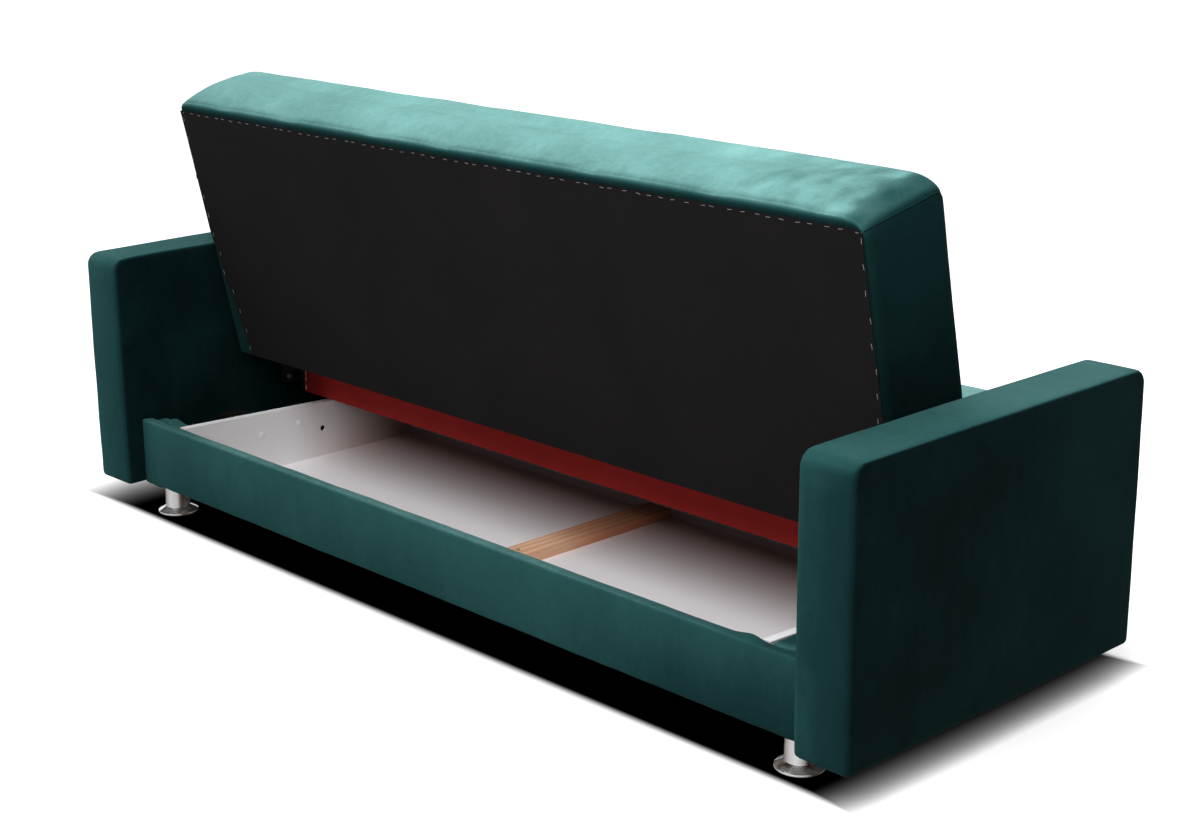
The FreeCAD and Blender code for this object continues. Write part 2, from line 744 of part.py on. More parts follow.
def spring_clips(along, depth):
    """Bridges over both ends of a spring, standing on the rails."""
    foot = depth.number - S.spring_wire.number - S.spring_lift.number
    width, length, height = S.clip_width.number, S.clip_length.number, S.clip_height.number
    tunnel = 2 * (S.spring_wire.number + S.spring_lift.number)
    clips = []
    edge = (S.cushion_wall + S.frame_rail / 2).number
    for centre in (edge, along.number - edge):
        corner = FreeCAD.Vector(-width / 2, centre - length / 2, foot)
        clip = Part.makeBox(width, length, height, corner)
        corner = FreeCAD.Vector(-width / 2, centre - tunnel / 2, foot)
        clips.append(clip.cut(Part.makeBox(width, tunnel, tunnel, corner)))
    return clips


def rows(shapes):
    """Copies of the shapes at every spring's place across the frame."""
    copies = []
    for x in spring_stations():
        for shape in shapes:
            copies.append(shape.translated(FreeCAD.Vector(x, 0, 0)))
    return Part.makeCompound(copies)


# Cushions: closed forms with a crown, rounded long edges and ends that draw in

END_STEPS = ((0.0, 1.0), (0.35, 0.42), (1.0, 0.1), (2.2, 0.0))
LENGTH_STEPS = 6
ROUND = math.sqrt(0.5)


def section(x, along, thick, crown, draw, inset, first, last, foot):
    """The outline of a cushion at one X; its flat side lies on depth zero."""
    low, high = draw + inset, along - draw - inset
    top = thick - inset

    def point(a, b):
        return FreeCAD.Vector(x, a, b)

    def bend(radius):
        return radius * (1 - ROUND)

    middle = (low + first + high - last) / 2
    start = point(low, 0)
    edges = [
        Part.LineSegment(start, point(low, top - first)),
        Part.Arc(point(low, top - first), point(low + bend(first), top - bend(first)),
                 point(low + first, top)),
        Part.Arc(point(low + first, top), point(middle, top + crown), point(high - last, top)),
        Part.Arc(point(high - last, top), point(high - bend(last), top - bend(last)),
                 point(high, top - last)),
        Part.LineSegment(point(high, top - last), point(high, foot)),
        Part.Arc(point(high, foot), point(high - bend(foot), bend(foot)),
                 point(high - foot, 0)),
        Part.LineSegment(point(high - foot, 0), start),
    ]
    return Part.Wire([edge.toShape() for edge in edges])


def cushion_form(along, thick, crown, first, last, foot):
    half = CUSHION_END.number
    rounding = S.end_rounding.number
    flat = half - END_STEPS[-1][0] * rounding
    stations = [(half - step * rounding, share * rounding) for step, share in END_STEPS]
    stations += [(flat * (1 - number / LENGTH_STEPS), 0.0) for number in range(1, LENGTH_STEPS)]
    stations = stations + [(0.0, 0.0)] + [(-x, inset) for x, inset in reversed(stations)]
    wires = []
    for x, inset in stations:
        swell = 1 - (x / half) ** 4
        draw = S.side_draw.number * max(0.0, 1 - (x / flat) ** 2)
        wires.append(section(x, along.number, thick.number, crown.number * swell + S.lining.number,
                             draw, inset, first.number, last.number, foot.number))
    return Part.makeLoft(wires, True, True)


# Seat: its frame lies flat, so along runs forward and depth runs up

def seat_box(name, xs, along, depth):
    ys = (at(S.seat_setback + S.lining + along[1]), at(S.seat_setback + S.lining + along[0]))
    return box(name, xs, ys, (S.seat_bottom + depth[0], S.seat_bottom + depth[1]))


def onto_seat(shape):
    """Turn a shape drawn with its waves along Y and its depth along Z to run forward."""
    turned = shape.copy()
    turned.rotate(FreeCAD.Vector(0, 0, 0), FreeCAD.Vector(0, 0, 1), HALF_TURN)
    turned.translate(FreeCAD.Vector(0, at(S.seat_setback + S.lining).number, S.seat_bottom.number))
    return turned


SEAT_ALONG = S.seat_depth - S.lining
SEAT_BOLTS = [(at(S.seat_bolt_setback + step * S.seat_bolt_pitch),
               S.seat_bottom + S.lining + S.frame_depth / 2) for step in range(3)]
SPRING_DEPTH = S.lining + S.frame_depth + S.spring_lift + S.spring_wire


def bolt_holes(places):
    def drill(name, side, inner, outer):
        radius = S.frame_bolt_radius + S.hole_clearance
        span = sided(side, inner, outer)
        return [rod(f"{name}_{number}", "x", radius, span, place)
                for number, place in enumerate(places)]
    return drill


seat_holes = bolt_holes(SEAT_BOLTS)
node(compound("seat_frame_rails", frame_members("seat", SEAT_ALONG, seat_box, seat_holes)),
     "seat_frame")
node(shaped("seat_spring_waves", onto_seat(rows([wave_spring(SEAT_ALONG, SPRING_DEPTH)]))),
     "seat_springs")
node(shaped("seat_clip_rows", onto_seat(rows(spring_clips(SEAT_ALONG, SPRING_DEPTH)))),
     "seat_spring_clips")

seat_form = shaped("seat_form", onto_seat(cushion_form(
    SEAT_ALONG, SEAT_THICKNESS, S.seat_crown, S.crease_rounding, S.nose_rounding,
    S.edge_rounding)))
POCKET_XS = (-(FRAME_END + S.butt_gap), FRAME_END + S.butt_gap)
seat_tools = [seat_box("seat_pocket", POCKET_XS,
                       (S.cushion_wall - S.butt_gap, SEAT_ALONG - S.cushion_wall + S.butt_gap),
                       (-S.lining, S.pocket_depth))]
for word, side in SIDES.items():
    seat_tools += seat_holes(f"seat_cushion_hole_{word}", side, FRAME_END - S.butt_gap,
                             CUSHION_END + S.butt_gap)
node(cut("seat_cushion_cut", seat_form, seat_tools), "seat_cushion")

LINING_END = CUSHION_END - S.seat_lining_inset
node(box("seat_rear_lining_sheet", (-LINING_END, LINING_END),
         (at(S.seat_setback + S.lining), at(S.seat_setback)),
         (S.seat_bottom + S.lining, S.seat_bottom + S.seat_lining_height)), "seat_rear_lining")
node(box("seat_bottom_lining_sheet", (-LINING_END, LINING_END),
         (at(SEAT_FRONT - S.edge_rounding), at(S.seat_setback + S.lining)),
         (S.seat_bottom - S.lining, S.seat_bottom)), "seat_bottom_lining")

GLIDE_FRONT = BOX_FRONT_FACE + S.seat_glide_lead
glide_strips = []
for number in (-1.5, -0.5, 0.5, 1.5):
    middle = number * S.seat_glide_spacing
    glide_strips.append(box(
        f"seat_glide_{int(number + 1.5)}",
        (middle - S.seat_glide_width / 2, middle + S.seat_glide_width / 2),
        (at(GLIDE_FRONT), at(GLIDE_FRONT - S.seat_glide_length)),
        (S.front_rail_top + S.side_clearance, S.seat_bottom - S.lining)))
node(compound("seat_glide_set", glide_strips), "seat_glides")

HUB_HALF = S.link_width / 2
SEAT_PLATE_FRONT = S.seat_bolt_setback + 2 * S.seat_bolt_pitch + HUB_HALF
for word, side in SIDES.items():
    hub_y, hub_z = at(HUB_SETBACK), HUB_LEVEL
    low, high = S.seat_bottom + S.cushion_wall, SEAT_FRAME_TOP - S.cushion_wall / 2
    corners = [
        (hub_y + HUB_HALF, hub_z + HUB_HALF), (hub_y - HUB_HALF, hub_z + HUB_HALF),
        (at(SEAT_PLATE_FRONT), high), (at(SEAT_PLATE_FRONT), low),
        (at(S.seat_bolt_setback - HUB_HALF), low), (hub_y + HUB_HALF, hub_z - HUB_HALF),
    ]
    holes = [(y, z, S.frame_bolt_radius + S.hole_clearance) for y, z in SEAT_BOLTS]
    holes.append((hub_y, hub_z, PIN_HOLE))
    seat_plate = plate(f"seat_plate_body_{word}", "YZ_Plane", S.plate, corners, holes)
    node(move(seat_plate, sided(side, *SEAT_LAYER)[0]), f"seat_plate_{word}")

seat_bolts = []
for word, side in SIDES.items():
    for number, place in enumerate(SEAT_BOLTS):
        seat_bolts.append(bolt(f"seat_bolt_{word}_{number}", side, SEAT_LAYER[1],
                               SEAT_LAYER[1] - S.frame_bolt_length, place, S.frame_bolt_radius,
                               S.frame_bolt_head_radius, S.frame_bolt_head))
node(compound("seat_bolt_set", seat_bolts), "seat_bolts")


# Back: drawn standing on its foot with its rear face at Y zero, then leaned

def back_box(name, xs, along, depth):
    return box(name, xs, (-depth[1], -depth[0]), along)


def onto_back(shape):
    """Turn a shape drawn with its waves along Y and its depth along Z to stand up."""
    turned = shape.copy()
    turned.rotate(FreeCAD.Vector(0, 0, 0), FreeCAD.Vector(1, 0, 0), RIGHT_ANGLE)
    return turned


BACK_ALONG = S.back_height
# The lining covers the frame, so both end at the same height.
BACK_FRAME_ALONG = S.back_lining_top + S.cushion_wall
RAIL_MIDDLE = S.lining + S.frame_depth / 2
BACK_BOLTS = [(-RAIL_MIDDLE, S.back_bolt_height + step * S.back_bolt_pitch)
              for step in range(3)]
back_holes = bolt_holes(BACK_BOLTS)

back_rails = frame_members("back", BACK_FRAME_ALONG, back_box, back_holes)
node(lean(compound("back_frame_rails", back_rails)), "back_frame")
back_waves = shaped("back_spring_waves",
                    onto_back(rows([wave_spring(BACK_FRAME_ALONG, SPRING_DEPTH)])))
back_clips = shaped("back_clip_rows",
                    onto_back(rows(spring_clips(BACK_FRAME_ALONG, SPRING_DEPTH))))
node(lean(compound("back_spring_set", [back_waves])), "back_springs")
node(lean(compound("back_clip_set", [back_clips])), "back_spring_clips")

back_form = shaped("back_form", onto_back(cushion_form(
    BACK_ALONG, S.back_thickness, S.back_crown, S.crease_rounding, S.nose_rounding,
    S.edge_rounding)))
back_tools = [
    back_box("back_pocket", POCKET_XS,
             (S.cushion_wall - S.butt_gap, BACK_FRAME_ALONG - S.cushion_wall + S.butt_gap),
             (-S.lining, S.pocket_depth)),
    back_box("back_rebate", (-ARM_INNER, ARM_INNER), (-S.lining, BACK_ALONG + S.lining),
             (-S.lining, S.lining)),
]
for word, side in SIDES.items():
    back_tools += back_holes(f"back_cushion_hole_{word}", side, FRAME_END - S.butt_gap,
                             CUSHION_END + S.butt_gap)
node(lean(cut("back_cushion_cut", back_form, back_tools)), "back_cushion")

LINING_SIDE = CUSHION_END - S.back_lining_edge
back_lining = plate(
    "back_lining_sheet", "XZ_Plane", S.lining,
    [(-LINING_SIDE, S.back_lining_foot), (LINING_SIDE - S.back_lining_wedge, S.back_lining_foot),
     (LINING_SIDE, S.back_lining_wedge_height), (LINING_SIDE, S.back_lining_top),
     (-LINING_SIDE, S.back_lining_top)])
node(lean(back_lining), "back_lining")

PLATE_TOP = S.back_bolt_height + 2 * S.back_bolt_pitch + HUB_HALF
RAIL_FRONT = S.lining + S.frame_depth
for word, side in SIDES.items():
    hub_a, hub_b = -HUB_DEPTH, HUB_HEIGHT
    near = -RAIL_MIDDLE + HUB_HALF / 2
    corners = [
        (hub_a - HUB_HALF, hub_b - HUB_HALF), (hub_a + HUB_HALF, hub_b - HUB_HALF),
        (near, S.back_bolt_height - HUB_HALF), (near, PLATE_TOP), (-RAIL_FRONT, PLATE_TOP),
        (hub_a - HUB_HALF, hub_b + HUB_HALF),
    ]
    holes = [(a, b, S.frame_bolt_radius + S.hole_clearance) for a, b in BACK_BOLTS]
    holes.append((hub_a, hub_b, PIN_HOLE))
    back_plate = plate(f"back_plate_body_{word}", "YZ_Plane", S.plate, corners, holes)
    node(lean(back_plate, sided(side, *BACK_LAYER)[0]), f"back_plate_{word}")

back_bolts, tubes = [], []
for word, side in SIDES.items():
    for number, place in enumerate(BACK_BOLTS):
        back_bolts.append(bolt(f"back_bolt_{word}_{number}", side, BACK_LAYER[1],
                               BACK_LAYER[1] - S.frame_bolt_length, place, S.frame_bolt_radius,
                               S.frame_bolt_head_radius, S.frame_bolt_head))
        xs = sided(side, CUSHION_END, BACK_LAYER[0])
        tube = rod(f"back_tube_{word}_{number}", "x", S.spacer_tube_radius, xs, place)
        bore = rod(f"back_tube_bore_{word}_{number}", "x",
                   S.frame_bolt_radius + S.hole_clearance,
                   (xs[0] - S.butt_gap, xs[1] + S.butt_gap), place)
        tubes.append(cut(f"back_tube_cut_{word}_{number}", tube, [bore]))
node(lean(compound("back_bolt_set", back_bolts)), "back_bolts")
node(lean(compound("back_tube_set", tubes)), "back_spacer_tubes")


# Pawls: short levers on the back plates that point at the ratchet wheels

PAWL_REACH = S.wheel_radius + S.pawl_tip_gap + S.pawl_arm
pawl_pins = []
for word, side in SIDES.items():
    xs = sided(side, *WHEEL_LAYER)
    long_xs = (xs[0] - S.plate, xs[1] + S.plate)
    half = S.pawl_width / 2
    centre = (-HUB_DEPTH, HUB_HEIGHT + PAWL_REACH)
    lever = box(f"pawl_lever_{word}", xs, (centre[0] - half, centre[0] + half),
                (centre[1] - S.pawl_arm, centre[1] + S.pawl_tail))
    hole = rod(f"pawl_hole_{word}", "x", S.pawl_pin_radius + S.pin_clearance, long_xs, centre)
    node(lean(cut(f"pawl_cut_{word}", lever, [hole])), f"pawl_{word}")
    pin_xs = sided(side, WHEEL_LAYER[0], BACK_LAYER[0])
    pawl_pins.append(rod(f"pawl_pin_{word}", "x", S.pawl_pin_radius, pin_xs, centre))
node(lean(compound("pawl_pin_set", pawl_pins)), "pawl_pins")


# Staples: along the top and the sides of the back lining, and at the ends of the seat's rear
# lining. The back lining's foot is tucked in, with no staples to be seen.

def staple(x, up, proud, across):
    """A staple's crown, lying along X, or along the back when across is False."""
    wire, width = S.staple_wire.number, S.staple_width.number
    wide, tall = (width, wire) if across else (wire, width)
    corner = FreeCAD.Vector(x - wide / 2, proud, up - tall / 2)
    return Part.makeBox(wide, wire, tall, corner)


def staple_row(start, end):
    """Places from start to end, as near to the staple pitch as they divide evenly."""
    count = max(1, round(abs(end - start) / S.staple_pitch.number))
    return [start + (end - start) * number / count for number in range(count + 1)]


inset = S.staple_inset.number
half = LINING_SIDE.number - inset
foot = S.back_lining_foot.number + inset
top = S.back_lining_top.number - inset
wedge_top = S.back_lining_wedge_height.number
wedge = S.back_lining_wedge.number
staples = []
for x in staple_row(-half, half):
    staples.append(staple(x, top, 0, True))
for up in staple_row(foot, top)[1:-1]:
    staples.append(staple(-half, up, 0, False))
    slope = max(0.0, (wedge_top - up) / (wedge_top - S.back_lining_foot.number))
    staples.append(staple(half - wedge * slope, up, 0, False))
node(lean(shaped("back_staple_row", Part.makeCompound(staples))), "back_staples")

rear_face = at(S.seat_setback).number
seat_staples = []
for side in SIDES.values():
    x = side * (LINING_END.number - inset)
    for up in staple_row(S.seat_bottom.number + 2 * inset,
                         (S.seat_bottom + S.seat_lining_height).number - 2 * inset):
        seat_staples.append(staple(x, up, rear_face, False))
node(shaped("seat_staple_row", Part.makeCompound(seat_staples)), "seat_staples")


# Check and write

DOC.recompute()
faults = [thing.Name for thing in DOC.Objects
          if "Invalid" in thing.State or "Error" in thing.State]
if faults:
    raise RuntimeError(f"failed objects: {faults}")
os.makedirs("parts", exist_ok=True)
for thing in NODES:
    if thing.Shape.isNull() or not thing.Shape.isValid():
        raise RuntimeError(f"{thing.Label} has no valid shape")
for thing in NODES:
    thing.Shape.exportStep(f"parts/{thing.Label}.step")
print(len(NODES), "sub-parts written")
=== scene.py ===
# %% [markdown]
# # A click-clack sofa bed in teal velvet
#
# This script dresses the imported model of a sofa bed. The model brings every hard piece at its
# real size. What it can't bring is the look: padded velvet, lining that is held by staples,
# white boards, pine and chrome. Each cell adds one of these and says why it is made that way.
# The frame is +X to the left of a person who sits on the sofa, +Y to its rear and +Z up.

# %% Load the model
import math
import random

import bmesh
import bpy
from mathutils import Matrix, Vector, noise


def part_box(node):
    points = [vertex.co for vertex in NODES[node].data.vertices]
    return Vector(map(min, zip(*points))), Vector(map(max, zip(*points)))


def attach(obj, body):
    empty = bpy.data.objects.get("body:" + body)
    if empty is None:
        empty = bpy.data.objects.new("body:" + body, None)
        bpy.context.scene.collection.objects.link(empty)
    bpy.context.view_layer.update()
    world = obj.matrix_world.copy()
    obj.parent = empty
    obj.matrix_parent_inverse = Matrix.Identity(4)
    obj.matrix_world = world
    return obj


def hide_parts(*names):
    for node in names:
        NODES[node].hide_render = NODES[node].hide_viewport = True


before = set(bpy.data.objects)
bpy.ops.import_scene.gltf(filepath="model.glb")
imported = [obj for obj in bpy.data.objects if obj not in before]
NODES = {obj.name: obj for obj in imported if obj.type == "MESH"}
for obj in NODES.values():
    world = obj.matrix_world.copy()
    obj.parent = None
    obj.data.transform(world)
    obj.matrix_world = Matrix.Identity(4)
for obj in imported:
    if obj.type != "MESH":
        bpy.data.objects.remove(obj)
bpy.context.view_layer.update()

# %% [markdown]
# ## Helpers
#
# Blender's operators act on what is selected, so each helper starts with nothing selected.
# A finished piece sits at the origin with its place in its mesh, as the model's nodes do.

# %% Selection, modifiers and placing
MM = 0.001


def select_only(*objects):
    bpy.ops.object.select_all(action="DESELECT")
    for obj in objects:
        obj.select_set(True)
    if objects:
        bpy.context.view_layer.objects.active = objects[0]


def in_scene(obj):
    bpy.context.scene.collection.objects.link(obj)
    return obj


def settle(obj):
    """Put the object's place and size into its mesh."""
    select_only(obj)
    bpy.ops.object.transform_apply(location=True, rotation=True, scale=True)
    return obj


def box_piece(name, low, high):
    """A block between two corners, to be shaped further."""
    low, high = Vector(low), Vector(high)
    select_only()
    bpy.ops.mesh.primitive_cube_add(size=1, location=(low + high) / 2)
    obj = bpy.context.object
    obj.name = obj.data.name = name
    obj.scale = high - low
    return settle(obj)


def pick(obj, kind, test):
    """Select the edges or faces that pass a test, and stay in edit mode."""
    select_only(obj)
    bpy.ops.object.mode_set(mode="EDIT")
    bpy.ops.mesh.select_mode(type=kind)
    bpy.ops.mesh.select_all(action="DESELECT")
    mesh = bmesh.from_edit_mesh(obj.data)
    for item in {"EDGE": mesh.edges, "FACE": mesh.faces}[kind]:
        if test(item):
            item.select_set(True)
    mesh.select_flush_mode()
    bmesh.update_edit_mesh(obj.data)


def leave_edit():
    bpy.ops.object.mode_set(mode="OBJECT")


def bevel_edges(obj, test, width, segments):
    pick(obj, "EDGE", test)
    bpy.ops.mesh.bevel(offset=width, segments=segments)
    leave_edit()


def middle(edge):
    return (edge.verts[0].co + edge.verts[1].co) / 2


def reach_x(edge):
    """How far an edge goes along X."""
    return abs(edge.verts[0].co.x - edge.verts[1].co.x)


def finish_with(obj, kind, **settings):
    """Add a modifier with its settings and apply it."""
    select_only(obj)
    modifier = obj.modifiers.new(kind.title(), kind)
    for key, value in settings.items():
        setattr(modifier, key, value)
    bpy.ops.object.modifier_apply(modifier=modifier.name)
    return obj


def smooth(obj, angle=40):
    select_only(obj)
    bpy.ops.object.shade_smooth_by_angle(angle=math.radians(angle))
    return obj


def join(name, objects):
    select_only(*objects)
    bpy.ops.object.join()
    obj = bpy.context.object
    obj.name = obj.data.name = name
    return obj


def wear(obj, material):
    obj.data.materials.clear()
    obj.data.materials.append(material)
    return obj


def dress(obj, body, material, slot, *replaced):
    """Give a piece its material and body, and hide what it stands for; slot is not used."""
    wear(obj, material)
    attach(obj, body)
    if replaced:
        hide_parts(*replaced)
    print(f"{obj.name}: {len(obj.data.vertices)} points on {body}")
    return obj


def each_point(obj, move):
    """Move every point by what a function of its place and normal returns."""
    mesh = bmesh.new()
    mesh.from_mesh(obj.data)
    mesh.normal_update()
    shifts = [move(vertex.co, vertex.normal) for vertex in mesh.verts]
    for vertex, shift in zip(mesh.verts, shifts):
        vertex.co += shift
    mesh.to_mesh(obj.data)
    mesh.free()
    return obj


def ripple(point, size, seed=0.0):
    """Smooth noise from -1 to 1 whose bumps are about that size."""
    return noise.noise(point / size + Vector((seed, seed * 1.7, -seed)))


def unevenness(place, waves):
    """Foam's slow unevenness: each wave is its size, its height and its seed."""
    return sum(ripple(place, size, seed) * height for size, height, seed in waves)


def ease(value, start, end):
    """From 0 at the start to 1 at the end, with soft corners."""
    done = min(1.0, max(0.0, (value - start) / (end - start)))
    return done * done * (3 - 2 * done)


def bell(value, top, width):
    """1 at the top, falling off to both sides."""
    return math.exp(-((value - top) / width) ** 2)


def share(value, low, high):
    """How far a value lies between two ends, from -1 to 1."""
    return (2 * value - low - high) / (high - low)


# %% [markdown]
# ## Shader groups
#
# Three effects are used by several finishes, so each is a node group that puts out only a
# mask or a normal: cloudy tone, fine tooth, and wood grain. The shader itself stays in each
# material with its own constants.

# %% Node helpers


def plug(tree, socket, value):
    """Give an input its value, or link it where the value is another socket."""
    if isinstance(value, bpy.types.NodeSocket):
        tree.links.new(value, socket)
    elif socket.type == "RGBA":
        socket.default_value = (*value[:3], 1)
    else:
        socket.default_value = value


def add(tree, kind, **values):
    """A node with its properties and input values."""
    item = tree.nodes.new(kind)
    for key, value in values.items():
        if hasattr(item, key) and key not in item.inputs:
            setattr(item, key, value)
        else:
            plug(tree, item.inputs[key], value)
    return item


def math_node(tree, operation, *values):
    item = add(tree, "ShaderNodeMath", operation=operation)
    for socket, value in zip(item.inputs, values):
        plug(tree, socket, value)
    return item.outputs[0]


def mix_colours(tree, factor, first, second, blend="MIX"):
    item = add(tree, "ShaderNodeMix", data_type="RGBA", blend_type=blend)
    for number, value in ((0, factor), (6, first), (7, second)):
        plug(tree, item.inputs[number], value)
    return item.outputs[2]


def ramp(tree, source, stops):
    """A colour ramp whose stops are (place, colour) pairs."""
    item = add(tree, "ShaderNodeValToRGB", Fac=source)
    elements = item.color_ramp.elements
    while len(elements) < len(stops):
        elements.new(0.5)
    for element, (place, colour) in zip(elements, stops):
        element.position = place
        element.color = (*colour, 1)
    return item.outputs["Color"]


def two_tone(tree, tone, first, second):
    """One colour where a cloudy tone is low and another where it is high."""
    return ramp(tree, tone, [(0.2, first), (0.8, second)])


def ramped(tree, value, start, end, low=0.0, high=1.0, kind="SMOOTHSTEP"):
    """Map a value from start..end to low..high, and hold it outside."""
    node = add(tree, "ShaderNodeMapRange", interpolation_type=kind, Value=value)
    for name, number in zip(("From Min", "From Max", "To Min", "To Max"),
                            (start, end, low, high)):
        node.inputs[name].default_value = number
    return node.outputs[0]


def part(tree, vector, axis):
    return add(tree, "ShaderNodeSeparateXYZ", Vector=vector).outputs[axis]


def stretched(tree, point, scale, turn=(0, 0, 0)):
    return add(tree, "ShaderNodeMapping", Vector=point, Scale=scale, Rotation=turn).outputs[0]


def bump(tree, strength, distance, height):
    return add(tree, "ShaderNodeBump", Strength=strength, Distance=distance,
               Height=height).outputs["Normal"]


def new_group(name, inputs, outputs):
    """An empty group whose inputs and outputs are (label, kind of socket) pairs."""
    group = bpy.data.node_groups.new(name, "ShaderNodeTree")
    for way, sockets in (("INPUT", inputs), ("OUTPUT", outputs)):
        for label, kind in sockets:
            group.interface.new_socket(label, in_out=way, socket_type=f"NodeSocket{kind}")
    return group, group.nodes.new("NodeGroupInput").outputs, group.nodes.new("NodeGroupOutput")


# %% Cloudy tone: soft patches
def build_cloud_group():
    group, given, end = new_group(
        "Cloudy tone", [("Point", "Vector"), ("Scale", "Float"), ("Contrast", "Float")],
        [("Tone", "Float")])
    broad = add(group, "ShaderNodeTexNoise", Vector=given["Point"], Scale=given["Scale"],
                Detail=5.0, Roughness=0.6, Distortion=0.4)
    centred = math_node(group, "SUBTRACT", broad.outputs["Fac"], 0.5)
    scaled = math_node(group, "MULTIPLY", centred, given["Contrast"])
    group.links.new(math_node(group, "ADD", scaled, 0.5), end.inputs["Tone"])
    return group


# %% Fine tooth: the small relief of pile, cloth or paint, as a normal
def build_tooth_group():
    group, given, end = new_group(
        "Fine tooth", [("Point", "Vector"), ("Scale", "Float"), ("Depth", "Float"),
                       ("Height", "Float")], [("Normal", "Vector")])
    fine = add(group, "ShaderNodeTexNoise", Vector=given["Point"], Scale=given["Scale"],
               Detail=3.0, Roughness=0.55)
    relief = bump(group, given["Depth"], given["Height"], fine.outputs["Fac"])
    group.links.new(relief, end.inputs["Normal"])
    return group


# %% Wood grain: long rings, with knots between them
def build_grain_group():
    group, given, end = new_group(
        "Wood grain", [("Point", "Vector"), ("Rings", "Float"), ("Wander", "Float")],
        [("Grain", "Float"), ("Knot", "Float")])
    rings = add(group, "ShaderNodeTexWave", wave_type="BANDS", bands_direction="X",
                Vector=given["Point"], Scale=given["Rings"], Distortion=given["Wander"],
                Detail=3.0)
    knots = add(group, "ShaderNodeTexVoronoi", Vector=given["Point"], Scale=2.3)
    near = ramp(group, knots.outputs["Distance"], [(0.02, (1, 1, 1)), (0.09, (0, 0, 0))])
    group.links.new(rings.outputs["Fac"], end.inputs["Grain"])
    group.links.new(near, end.inputs["Knot"])
    return group


# %% Use of the groups
CLOUD = build_cloud_group()
TOOTH = build_tooth_group()
GRAIN = build_grain_group()


def place_group(tree, group, **values):
    return add(tree, "ShaderNodeGroup", node_tree=group, **values).outputs


def cloud(tree, point, scale, contrast):
    return place_group(tree, CLOUD, Point=point, Scale=scale, Contrast=contrast)["Tone"]


def tooth(tree, point, scale, depth, height):
    return place_group(tree, TOOTH, Point=point, Scale=scale, Depth=depth,
                       Height=height)["Normal"]


print("groups:", [group.name for group in bpy.data.node_groups])

# %% [markdown]
# ## Velvet
#
# Velvet is a short, dense pile. Seen along the pile it is almost black, and where the pile
# lies towards the light it turns pale, so one cloth shows many tones. Here the tone is set by
# the direction each face of a panel points, so it is partly the pile's lie and partly painted
# light, painted shade and painted sheen: top faces pale, side faces near black. Each velvet
# piece carries an attribute for it, from 0 for near black to 1 for pale. Brush marks and
# clouds vary it, and the sheen sits on the shader as a constant.

# %% Velvet material
# From near black to pale teal: the pale end is painted light and sheen, for faces that catch the
# lamps.
VELVET_LIT_TONES = [
    (0.00, (0.0015, 0.0075, 0.0080)),
    (0.25, (0.0080, 0.0370, 0.0385)),
    (0.50, (0.0260, 0.0980, 0.0960)),
    (0.70, (0.0700, 0.1850, 0.1800)),
    (1.00, (0.3150, 0.6550, 0.6250)),
]
SHEEN_TINT = (0.45, 0.85, 0.85, 1)
PANEL_SHARPNESS = 9


def new_material(name):
    material = bpy.data.materials.new(name)
    material.use_nodes = True
    tree = material.node_tree
    point = tree.nodes.new("ShaderNodeTexCoord").outputs["Object"]
    return material, tree, tree.nodes["Principled BSDF"], point


def wire(tree, shader, colour, normal, **constants):
    """Link a shader's colour and normal, and set its constants."""
    tree.links.new(colour, shader.inputs["Base Color"])
    if normal is not None:
        tree.links.new(normal, shader.inputs["Normal"])
    for label, value in constants.items():
        shader.inputs[label.replace("_", " ")].default_value = value


def velvet_material():
    material, tree, shader, point = new_material("teal_velvet")
    # The attribute holds the pile's lie and painted light and sheen together.
    nap_and_light = add(tree, "ShaderNodeAttribute", attribute_name="nap_and_light").outputs["Fac"]
    sweep = stretched(tree, point, (1.0, 1.0, 0.35), (0.5, 0.6, 0.3))
    tone = math_node(tree, "ADD", cloud(tree, point, 7.0, 0.30),
                     cloud(tree, sweep, 38.0, 0.28))
    tone = math_node(tree, "ADD", tone, cloud(tree, point, 120.0, 0.26))
    tone = math_node(tree, "SUBTRACT", tone, 1.5)
    size = math_node(tree, "MULTIPLY_ADD", nap_and_light, 0.12, 0.26)
    lie = math_node(tree, "ADD", nap_and_light, math_node(tree, "MULTIPLY", tone, size))
    wire(tree, shader, ramp(tree, lie, VELVET_LIT_TONES), tooth(tree, point, 1300.0, 0.55, 0.0006),
         Roughness=0.9, Specular_IOR_Level=0.03, Sheen_Weight=0.05, Sheen_Roughness=0.35,
         Sheen_Tint=SHEEN_TINT)
    return material


VELVET = velvet_material()


def lay_nap_and_light(obj, panels, drift=None):
    """Store each point's tone of pile and painted light by the way it faces: panels are
    (direction, tone) pairs, drift adds to it.
    """
    directions = [(Vector(direction).normalized(), tone) for direction, tone in panels]
    mesh = bmesh.new()
    mesh.from_mesh(obj.data)
    mesh.normal_update()
    values = []
    for vertex in mesh.verts:
        total, weights = 0.0, 1e-6
        for direction, tone in directions:
            weight = max(0.0, vertex.normal.dot(direction)) ** PANEL_SHARPNESS
            total += weight * tone
            weights += weight
        value = total / weights + 0.04 * ripple(vertex.co, 0.14, 3.1)
        if drift:
            value += drift(vertex.co, vertex.normal)
        values.append(max(0.0, value))
    mesh.free()
    nap_and_light = obj.data.attributes.new("nap_and_light", "FLOAT", "POINT")
    nap_and_light.data.foreach_set("value", values)
    return obj


# %% [markdown]
# ## Lining, boards, wood and metal
#
# The rear is closed with black spun lining and a strip of red cloth. The box is board with a
# white face, its slat is pine. Legs are chromed, brackets are black painted steel, staples
# and bolts are bright.

# %% Black spun lining and red woven strip
def lining_material():
    material, tree, shader, point = new_material("black_lining")
    colour = two_tone(tree, cloud(tree, point, 4.0, 0.9), (0.0070, 0.0062, 0.0066),
                      (0.0120, 0.0105, 0.0103))
    dimples = add(tree, "ShaderNodeTexVoronoi", Vector=point, Scale=420.0, feature="F1")
    wire(tree, shader, colour, bump(tree, 0.35, 0.0006, dimples.outputs["Distance"]),
         Roughness=0.85, Specular_IOR_Level=0.08)
    return material


